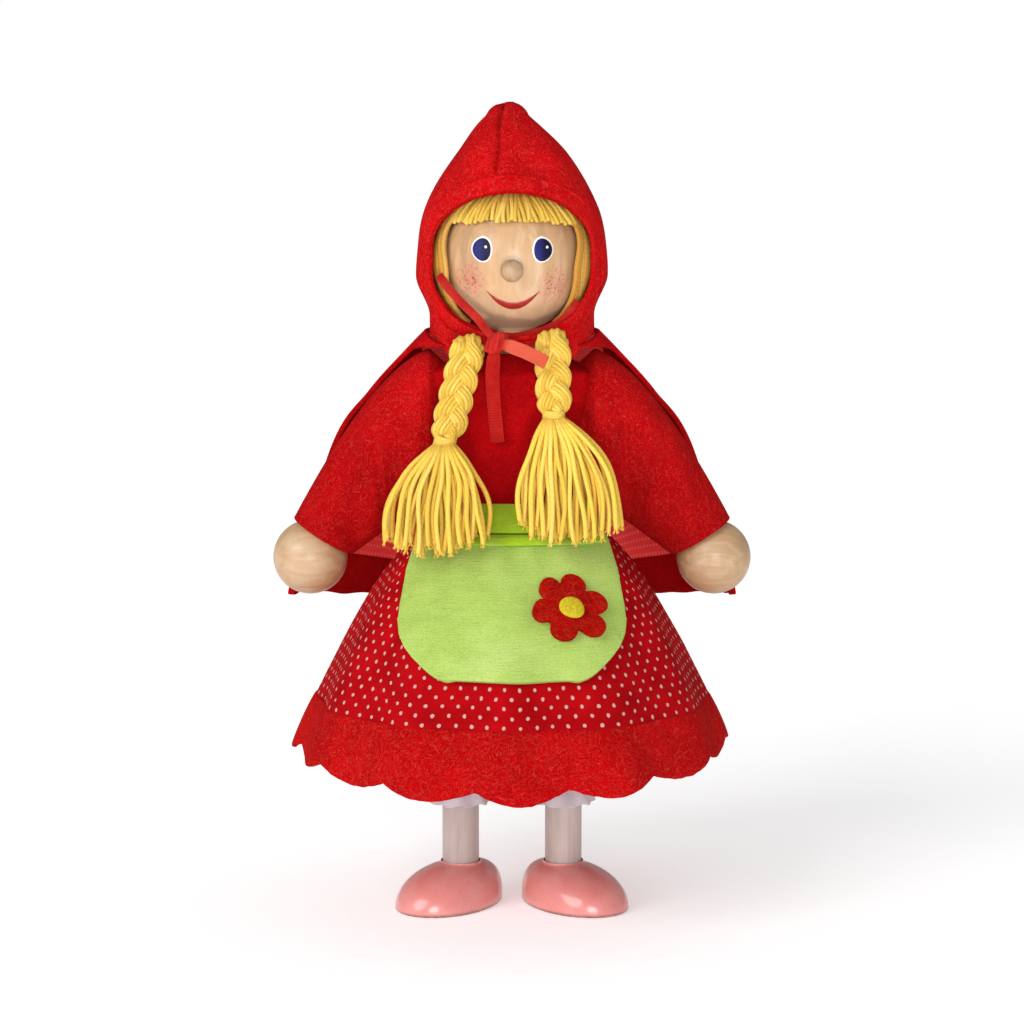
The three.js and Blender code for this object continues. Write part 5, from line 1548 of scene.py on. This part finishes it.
def bodice_point(angle, z, outward):
    lower = TORSO_STATIONS[0]
    upper = TORSO_STATIONS[-1]
    for first, second in zip(TORSO_STATIONS, TORSO_STATIONS[1:]):
        if first[2] <= z <= second[2]:
            lower = first
            upper = second
    share = clamp((z - lower[2]) / (upper[2] - lower[2]))
    half_width = mix(lower[0], upper[0], share) + outward
    half_depth = mix(lower[1], upper[1], share) + outward
    across = abs(math.sin(angle) / half_width) ** BODICE_SQUARENESS
    through = abs(math.cos(angle) / half_depth) ** BODICE_SQUARENESS
    radius = (across + through) ** (-1 / BODICE_SQUARENESS)
    return around(angle, radius, z)


ARMHOLE_SHARE = 0.14
ARMHOLE_TOP = Vector((17.0, 0, 147.2))
ARMHOLE_BOTTOM = Vector((17.0, 0, 113.5))
ARMHOLE_DEPTH = 9.6
SLEEVE_TOP_DEPTH = 13.2
CUFF_DEPTH = 9.4
SLEEVE_FOLD = 1.5


class DOLL_OT_bodice(bpy.types.Operator):
    """Sew the bodice and its wide sleeves"""
    bl_idname = "doll.bodice"
    bl_label = "Bodice and sleeves"

    def execute(self, context):
        # The bodice's felt is a darker copy of the red felt with duller fibres, as painted shade.
        felt = felt_finish("bodice_felt", tint(hue("felt"), 0.9), linear(206, 34, 32))
        sleeve_felt = felt_finish("sleeve_felt", hue("felt"), linear(244, 84, 68))

        def surface(across, along):
            angle = across * FULL_TURN
            if along < BODICE_SHARE:
                z = mix(BODICE_BOTTOM, BODICE_TOP, along / BODICE_SHARE)
                point = bodice_point(angle, z, BODICE_CLEARANCE)
                return point + Vector((0, -1, 0)) * dent(point, 0.12, 0.3, 2.0)
            neck = (along - BODICE_SHARE) / 0.07
            top = bodice_point(angle, BODICE_TOP, BODICE_CLEARANCE)
            collar = Vector((9.5 * math.sin(angle), -8.6 * math.cos(angle), 151.2))
            return top.lerp(collar, ease(neck))

        bodice = laid_piece("bodice_cloth", surface, (84, 56), (120.0, 46.0), (0, 0, 130), felt)
        thicken(bodice, sizes().felt_thickness)
        dress(bodice, "torso", "red_felt", "bodice")
        for name, side in SIDES:
            self.sleeve(name, side, sleeve_felt)
        return {'FINISHED'}

    def sleeve(self, name, side, felt):
        upper = self.sleeve_part("sleeve_top_" + name, side, -ARMHOLE_SHARE, 0.5, felt)
        lower = self.sleeve_part("sleeve_cuff_" + name, side, 0.5, 1.0, felt)
        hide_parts("sleeve_" + name)
        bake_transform(upper)
        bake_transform(lower)

    def sleeve_part(self, name, side, start, end, felt):
        """Half a sleeve's length, with soft folds that run out from under the arm."""
        def surface(across, along):
            share = mix(start, end, along)
            angle = across * FULL_TURN
            inside = clamp(-share / ARMHOLE_SHARE)
            top = shoulder_line(max(0.0, share)).lerp(ARMHOLE_TOP, inside)
            under = underarm_line(max(0.0, share)).lerp(ARMHOLE_BOTTOM, inside)
            depth = mix(
                mix(SLEEVE_TOP_DEPTH, CUFF_DEPTH, max(0.0, share)), ARMHOLE_DEPTH,
                ease(inside + 0.25 * ease((0.1 - share) / 0.1))
            )
            point = (top + under) / 2 + (top - under) / 2 * math.cos(angle)
            point.y = -depth * math.sin(angle)
            lower = ease((1 - math.cos(angle)) / 2)
            edges = ease(share / 0.12) * ease((1 - share) / 0.1)
            rest = ease(abs(share - 0.5) / 0.07)
            fold = SLEEVE_FOLD * math.sin(share * 15 + 2.2 * math.cos(angle)) * lower * math.sin(angle)
            fold *= edges * rest
            soft = dent(point, 0.08, 1.1, side * 5.0) * edges * rest
            point.y -= (fold + soft) * (1 if math.sin(angle) > 0 else -1) * abs(math.sin(angle))
            return Vector((side * point.x, point.y, point.z))

        piece = laid_piece(name, surface, (72, 44), (100.0, 24.0), (side * 36, 0, 122), felt)
        thicken(piece, sizes().felt_thickness)
        settle(piece)
        return piece


SCALLOPS = 15
SCALLOP_START = math.radians(9.4)


def hem_height(angle):
    scallop = 3 * (1 - abs(math.sin(SCALLOPS / 2 * (angle + SCALLOP_START))))
    return SKIRT_HEM + scallop + 3.2 * math.sin(angle) ** 2 + 0.6 * math.sin(angle)


class DOLL_OT_skirt(bpy.types.Operator):
    """Gather the dotted skirt and sew on its scalloped felt border"""
    bl_idname = "doll.skirt"
    bl_label = "Skirt"

    def execute(self, context):
        cotton = dotted_cotton_finish()
        border_felt = felt_finish("border_felt", hue("border"), linear(250, 96, 78), 1.1)

        def surface(across, along):
            z = mix(BORDER_TOP - 0.4, SKIRT_TOP, along ** 1.35)
            angle = across * FULL_TURN - math.pi
            gather = 0.35 * math.sin(48 * angle) * ease((z - 78) / 30)
            point = skirt_point(angle, z, 0.9 + gather)
            return point + around(angle, 1, 0) * dent(point, 0.07, 0.5, 9.0)

        bm = bmesh.new()
        rows = 80
        lay(bm, surface, 240, rows, (78.0, 1.0))
        layer = bm.loops.layers.uv.verify()
        heights = [0.0]
        for row in range(rows):
            step = surface(0.02, (row + 1) / rows) - surface(0.02, row / rows)
            heights.append(heights[-1] + step.length)
        for face in bm.faces:
            for loop in face.loops:
                loop[layer].uv.y = heights[int(round(loop[layer].uv.y * rows))] / DOT_ROW_SPACING
        close_up(bm, (0, 0, 80))
        skirt = make_piece("skirt_cloth", bm, cotton)
        thicken(skirt, sizes().cotton_thickness)
        dress(skirt, "torso", "dotted_cotton", "skirt")
        border = self.border(border_felt)
        return {'FINISHED'}

    def border(self, felt):
        """A felt strip with rounded scallops, sewn over the skirt's end."""
        def surface(across, along):
            angle = across * FULL_TURN - math.pi
            low = hem_height(angle)
            z = mix(low, BORDER_TOP, along)
            swell = 0.5 * math.sin(along * math.pi) ** 0.5
            point = skirt_point(angle, z, 1.0 + swell)
            ragged = 0.35 * noise.noise(Vector((angle * 30, 0.0, 2.0))) * ease((0.3 - along) / 0.3)
            return point + Vector((0, 0, ragged))

        border = laid_piece("skirt_scallops", surface, (300, 18), (377.0, 18.0), (0, 0, 50), felt)
        return sewn(border, sizes().felt_thickness, 0.00035, "red_felt", "skirt_border")


APRON_TOP = 104.3
APRON_LENGTH = 33.6
APRON_OUTWARD = 3.7
APRON_REACH = 2.9
BAND_LOW = 102.5
BAND_TOP = 112.0
BAND_SEAM = 0.27
APRON_OUTLINE = (
    (0.0, 20.6), (0.256, 24.4), (0.5, 26.8), (0.62, 27.6), (0.7, 27.4), (0.78, 26.2), (0.86, 23.9),
    (0.94, 21.0), (0.98, 19.2), (1.0, 17.4),
)


def apron_point(across, z, outward):
    """A point in front of the skirt, by its distance from the middle."""
    reach = skirt_radius(0.0, z) + APRON_REACH
    angle = math.asin(max(-0.99, min(0.99, across / reach)))
    return skirt_point(angle, z, outward)


FLOWER_HEIGHT = 88.5
FLOWER_ASIDE = 14.6
FLOWER_OUTWARD = 6.3
PETALS = 6
PETAL_LENGTH = 10
DISC_RADIUS = 3.2
DISC_OUTWARD = 7.6
FLOWER_ANGLE = math.asin(FLOWER_ASIDE / (skirt_radius(0.0, FLOWER_HEIGHT) + FLOWER_OUTWARD))
FLOWER_RADIUS = skirt_radius(FLOWER_ANGLE, FLOWER_HEIGHT)
FLOWER_SLOPE = math.atan(skirt_radius(0.0, FLOWER_HEIGHT - 1) - skirt_radius(0.0, FLOWER_HEIGHT))


def flower_point(turn, reach, outward):
    """A point on the flower, which lies on the apron's slope."""
    angle = FLOWER_ANGLE + reach * math.sin(turn) / (FLOWER_RADIUS + outward)
    return skirt_point(angle, FLOWER_HEIGHT + reach * math.cos(turn) * math.cos(FLOWER_SLOPE), outward)


class DOLL_OT_apron(bpy.types.Operator):
    """Lay the velour apron with its waistband and felt flower"""
    bl_idname = "doll.apron"
    bl_label = "Apron"

    def execute(self, context):
        velour = velour_finish("lime_velour", hue("velour"))
        band_velour = velour_finish("lime_band", hue("waistband"))
        petal_felt = felt_finish("flower_felt", hue("flower"), linear(222, 92, 50), 1.2)
        centre_felt = felt_finish("flower_centre_felt", hue("flower_centre"), linear(255, 232, 110), 1.5)

        def surface(across, along):
            down = 1 - along
            z = APRON_TOP - APRON_LENGTH * down
            half = read_outline(APRON_OUTLINE, down)
            point = apron_point(half * (across * 2 - 1), z, APRON_OUTWARD)
            edge = 1 - ease(min(across, 1 - across) * 12)
            gather = 0.55 * math.sin(across * 34) * ease((along - 0.62) / 0.38)
            return point + Vector((0, -1, 0)) * (dent(point, 0.09, 0.7, 4.0) + 0.25 * edge + gather)

        apron = laid_piece("apron_cloth", surface, (72, 60), (56.0, 36.0), (0, 0, 88), velour)
        sewn(apron, sizes().velour_thickness, 0.0004, "lime_velour", "apron")
        band, seam = self.band(band_velour)
        flower = self.flower(petal_felt)
        centre = self.centre(centre_felt)
        return {'FINISHED'}

    def band(self, velour):
        """The folded waistband with the groove of its seam."""
        reach = math.asin(21.5 / (skirt_radius(0.0, 104.6) + APRON_REACH))

        def surface(across, along):
            aside = across * 2 - 1
            lower = apron_point(20.2 * aside, BAND_LOW, 5.1)
            upper = skirt_point(aside * reach, SKIRT_TOP, 3.9)
            upper.x = 20.8 * aside
            upper.z = BAND_TOP
            point = lower.lerp(upper, along)
            swell = 0.5 * math.sin(clamp((along - 0.3) / 0.7) * math.pi) ** 0.5
            lip = 0.8 * math.sin(clamp(along / 0.24) * math.pi) ** 0.5
            seam = bell((along - BAND_SEAM) / 0.03)
            return point + Vector((0, -1, 0)) * (swell + lip - seam + dent(point, 0.2, 0.35, 6.0))

        band = laid_piece("apron_waistband", surface, (64, 44), (43.0, 11.0), (0, 0, 105), velour)
        return sewn(band, 0.0016, 0.0004, "lime_velour", "apron_band"), self.seam(surface)

    def seam(self, surface):
        """The line of thread along the waistband, dark as painted shade in the seam's groove."""
        points = []
        for step in range(65):
            points.append(surface(mix(0.01, 0.99, step / 64), BAND_SEAM) + Vector((0, -0.45, 0)))
        bm = bmesh.new()
        sweep(bm, points, 0.22, 6)
        close_up(bm)
        # The thread is darkened far below the band's green, as painted shade in the seam's groove.
        thread = velour_finish("lime_thread", tint(hue("waistband"), 0.25))
        return dress(make_piece("waistband_seam", bm, thread), "torso", "lime_velour")

    def flower(self, felt):
        """Six petals cut from felt, each with a pressed line."""
        def surface(across, along):
            turn = across * FULL_TURN
            petal = abs(math.cos(PETALS / 2 * (turn - math.radians(22))))
            reach = PETAL_LENGTH * (1 - 0.42 * (1 - math.sqrt(petal)))
            curl = 0.5 * along * along * petal - 0.3 * (1 - petal) * along
            return flower_point(turn, reach * along, FLOWER_OUTWARD + curl)

        flower = laid_piece("flower_petals", surface, (120, 14), (1.0, 10.0), (16, 0, FLOWER_HEIGHT), felt)
        return sewn(flower, 0.0014, FELT_EDGE, "red_felt", "flower")

    def centre(self, felt):
        """A small felt disc, domed by its stitch."""
        def surface(across, along):
            turn = across * FULL_TURN
            reach = DISC_RADIUS * (1 + 0.025 * math.sin(3 * turn))
            crown = 0.7 * (1 - along ** 3)
            return flower_point(turn, reach * along, DISC_OUTWARD + crown)

        centre = laid_piece("flower_disc", surface, (48, 10), (1.0, 3.4), (16, 0, FLOWER_HEIGHT), felt)
        return sewn(centre, 0.0011, FELT_EDGE, "yellow_felt", "flower_centre")


class DOLL_OT_hands(bpy.types.Operator):
    """Turn the hand balls on the ends of the arms"""
    bl_idname = "doll.hands"
    bl_label = "Hands"

    def execute(self, context):
        maple = wood_finish("maple_hand", hue("maple"), "X", 0.45)
        socket = 4.3
        outline = [(0.0, 4.0), (socket - 0.1, 4.0), (socket - 0.1, 8.6)]
        start = math.asin((socket + 0.5) / HAND_RADIUS)
        for step in range(33):
            turn = mix(start, math.pi, step / 32)
            outline.append((HAND_RADIUS * math.sin(turn), HAND_RADIUS * math.cos(turn)))
        for name, side in SIDES:
            wrist = (-side * math.sin(ARM_TILT), 0, math.cos(ARM_TILT))
            centre = Vector((side * HAND_CENTRE.x, HAND_CENTRE.y, HAND_CENTRE.z))
            bm = bmesh.new()
            turned(bm, outline, centre, wrist, 64)
            dress(make_piece("hand_ball_" + name, bm, maple), "forearm_" + name, "maple", "hand_" + name)
        return {'FINISHED'}


BLOOMER_TOP = 79.0
BLOOMER_HEM = 28.5
RUFFLES = 9
BLOOMER_OUTLINE = (
    (BLOOMER_TOP, 7.4), (73.0, 8.6), (58.0, 9.0), (48.0, 9.0), (42.0, 8.9), (37.5, 7.4), (34.0, 6.1),
    (32.6, 6.35), (30.5, 7.6), (BLOOMER_HEM, 8.3),
)


class DOLL_OT_bloomers(bpy.types.Operator):
    """Gather the linen bloomers with their ruffles"""
    bl_idname = "doll.bloomers"
    bl_label = "Bloomers"

    def execute(self, context):
        linen = linen_finish()
        for name, side in SIDES:
            self.leg(name, side, linen)
        return {'FINISHED'}

    def leg(self, name, side, linen):
        def surface(across, along):
            z = mix(BLOOMER_HEM, BLOOMER_TOP, along ** 1.5)
            angle = across * FULL_TURN
            ruffle = ease((33.5 - z) / 5) * 0.55 * math.sin(RUFFLES * angle)
            pleat = 0.16 * math.sin(26 * angle) * ease((46 - z) / 10) * ease((z - 30) / 3)
            radius = read_outline(BLOOMER_OUTLINE, z) + ruffle + pleat
            low = 0.35 * math.sin(RUFFLES * angle + 1.2) * ease((31 - z) / 2.5)
            return Vector((side * LEG_X, 0, low)) + around(angle, radius, z)

        middle = (side * LEG_X, 0, 55)
        piece = laid_piece("bloomer_leg_" + name, surface, (96, 48), (56.0, 54.0), middle, linen)
        thicken(piece, sizes().linen_thickness)
        settle(piece)
        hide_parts("bloomer_" + name)
        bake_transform(piece)


KNEE_HEIGHT = 53.0
SHOE_TURN = math.radians(45)
SHOE_LENGTH = 34.0
SHOE_WIDTH = 23.0
SHOE_HEIGHT = 12.0
SHOE_FORWARD = 4.0
SHOE_COLLAR = 5.45
SHOE_ROUNDNESS = 2.5
SOLE_SHARE = 0.06
SOLE_SCALE = 0.94
SOLE_EDGE = 0.9
SHIN_RADIUS = 5.0
TONGUE_RADIUS = 4.9
TONGUE_HALF = 1.6
PIN_BORE = 1.7


class DOLL_OT_shoes(bpy.types.Operator):
    """Shape the painted shoes and the whitened shins"""
    bl_idname = "doll.shoes"
    bl_label = "Shoes and shins"

    def execute(self, context):
        paint = shoe_finish()
        stain = wood_finish("white_stain_shin", hue("stain"), "Z", 0.5, 0.82)
        for name, side in SIDES:
            dress(self.shoe(name, side, paint), "shin_" + name, "pink_paint", "shoe_" + name)
            dress(self.shin(name, side, stain), "shin_" + name, "white_stain", "shin_" + name)
        return {'FINISHED'}

    def shoe(self, name, side, paint):
        turn = Matrix.Rotation(side * SHOE_TURN, 3, 'Z')
        ankle = Vector((side * LEG_X, 0, 0))

        def surface(across, along):
            angle = across * FULL_TURN
            if along < SOLE_SHARE:
                scale = SOLE_SCALE * along / SOLE_SHARE
                lift = 0.0
            elif along < 2 * SOLE_SHARE:
                round_off = (along - SOLE_SHARE) / SOLE_SHARE * math.pi / 2
                scale = mix(SOLE_SCALE, 1.0, math.sin(round_off))
                lift = SOLE_EDGE * (1 - math.cos(round_off))
            else:
                lift = mix(SOLE_EDGE, SHOE_HEIGHT, (along - 2 * SOLE_SHARE) / (1 - 2 * SOLE_SHARE))
                scale = max(0.0, 1 - (lift / SHOE_HEIGHT) ** SHOE_ROUNDNESS) ** (1 / SHOE_ROUNDNESS)
            level = lift / SHOE_HEIGHT
            toe = 1 + 0.1 * math.cos(angle)
            spot = Vector((
                SHOE_WIDTH / 2 * scale * toe * math.sin(angle),
                -SHOE_LENGTH / 2 * scale * math.cos(angle) - SHOE_FORWARD * (1 - level * level),
                lift,
            ))
            if level > 0.8 and spot.xy.length < SHOE_COLLAR:
                spot = around(angle, SHOE_COLLAR, spot.z)
            return ankle + turn @ spot

        return laid_piece("shoe_painted_" + name, surface, (72, 60), (1.0, 40.0), (side * LEG_X, 0, 5), paint)

    def shin(self, name, side, stain):
        """The dowel under the knee, with a flat round tongue that turns in the thigh's fork."""
        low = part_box("shin_" + name)[0][2] / MM
        shoulder = KNEE_HEIGHT - 5.4
        bevel = 0.3
        outline = [(0.0, low), (SHIN_RADIUS - bevel, low), (SHIN_RADIUS, low + bevel)]
        outline += [(SHIN_RADIUS, shoulder - bevel), (SHIN_RADIUS - bevel, shoulder), (0.0, shoulder)]
        tongue = [(PIN_BORE, -TONGUE_HALF), (TONGUE_RADIUS, -TONGUE_HALF), (TONGUE_RADIUS, TONGUE_HALF)]
        tongue += [(PIN_BORE, TONGUE_HALF), (PIN_BORE, -TONGUE_HALF)]
        stem = [(0.0, shoulder - 1), (TONGUE_HALF, shoulder - 1)]
        stem += [(TONGUE_HALF, KNEE_HEIGHT - 3), (0.0, KNEE_HEIGHT - 3)]
        bm = bmesh.new()
        turned(bm, outline, (side * LEG_X, 0, 0), (0, 0, 1), 48)
        turned(bm, tongue, (side * LEG_X, 0, KNEE_HEIGHT), (1, 0, 0), 40)
        turned(bm, stem, (side * LEG_X, 0, 0), (0, 0, 1), 24)
        return make_piece("shin_dowel_" + name, bm, stain)


WOODEN_NODES = (
    "torso_block", "neck_dowel", "upper_arm_left", "upper_arm_right", "forearm_left", "forearm_right",
    "shoulder_peg_left", "shoulder_peg_right",
)
STAINED_NODES = ("thigh_left", "thigh_right")
STEEL_NODES = ("hip_rivet", "elbow_pin_left", "elbow_pin_right", "knee_pin_left", "knee_pin_right")


class DOLL_OT_woodwork(bpy.types.Operator):
    """Finish the wooden limbs and metal pins that carry the clothes"""
    bl_idname = "doll.woodwork"
    bl_label = "Limbs and pins"

    def execute(self, context):
        maple = wood_finish("maple_limbs", hue("maple"), "Z", 0.5)
        stain = wood_finish("white_stain_thigh", hue("stain"), "Z", 0.5, 0.82)
        steel = steel_finish()
        for nodes, finish in ((WOODEN_NODES, maple), (STAINED_NODES, stain), (STEEL_NODES, steel)):
            for name in nodes:
                self.coat(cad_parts[name], finish)
        return {'FINISHED'}

    def coat(self, solid, finish):
        for slot in solid.material_slots:
            slot.material = finish


BUILD_ORDER = (
    DOLL_OT_stage, DOLL_OT_ribbon, DOLL_OT_head, DOLL_OT_face_paint, DOLL_OT_hair, DOLL_OT_braids,
    DOLL_OT_hood, DOLL_OT_cape, DOLL_OT_bodice, DOLL_OT_skirt, DOLL_OT_apron, DOLL_OT_hands,
    DOLL_OT_bloomers, DOLL_OT_shoes, DOLL_OT_woodwork,
)


class DOLL_PT_build(bpy.types.Panel):
    """Sizes, colours and the steps that dress the doll"""
    bl_idname = "DOLL_PT_build"
    bl_label = "Wooden doll"
    bl_space_type = 'VIEW_3D'
    bl_region_type = 'UI'
    bl_category = "Doll"

    def draw(self, context):
        layout = self.layout
        for group in (context.scene.doll_sizes, context.scene.doll_colours):
            box = layout.box()
            for name in group.bl_rna.properties.keys():
                if name not in ("rna_type", "name"):
                    box.prop(group, name)
        for step in BUILD_ORDER:
            layout.operator(step.bl_idname)


CLASSES = (DollSizes, DollColours, *BUILD_ORDER, DOLL_PT_build)


def register():
    for part in CLASSES:
        bpy.utils.register_class(part)
    bpy.types.Scene.doll_sizes = bpy.props.PointerProperty(type=DollSizes)
    bpy.types.Scene.doll_colours = bpy.props.PointerProperty(type=DollColours)


def unregister():
    del bpy.types.Scene.doll_colours
    del bpy.types.Scene.doll_sizes
    for part in reversed(CLASSES):
        bpy.utils.unregister_class(part)


def main():
    register()
    for step in BUILD_ORDER:
        group, name = step.bl_idname.split(".")
        getattr(getattr(bpy.ops, group), name)()


if __name__ == "__main__":
    main()
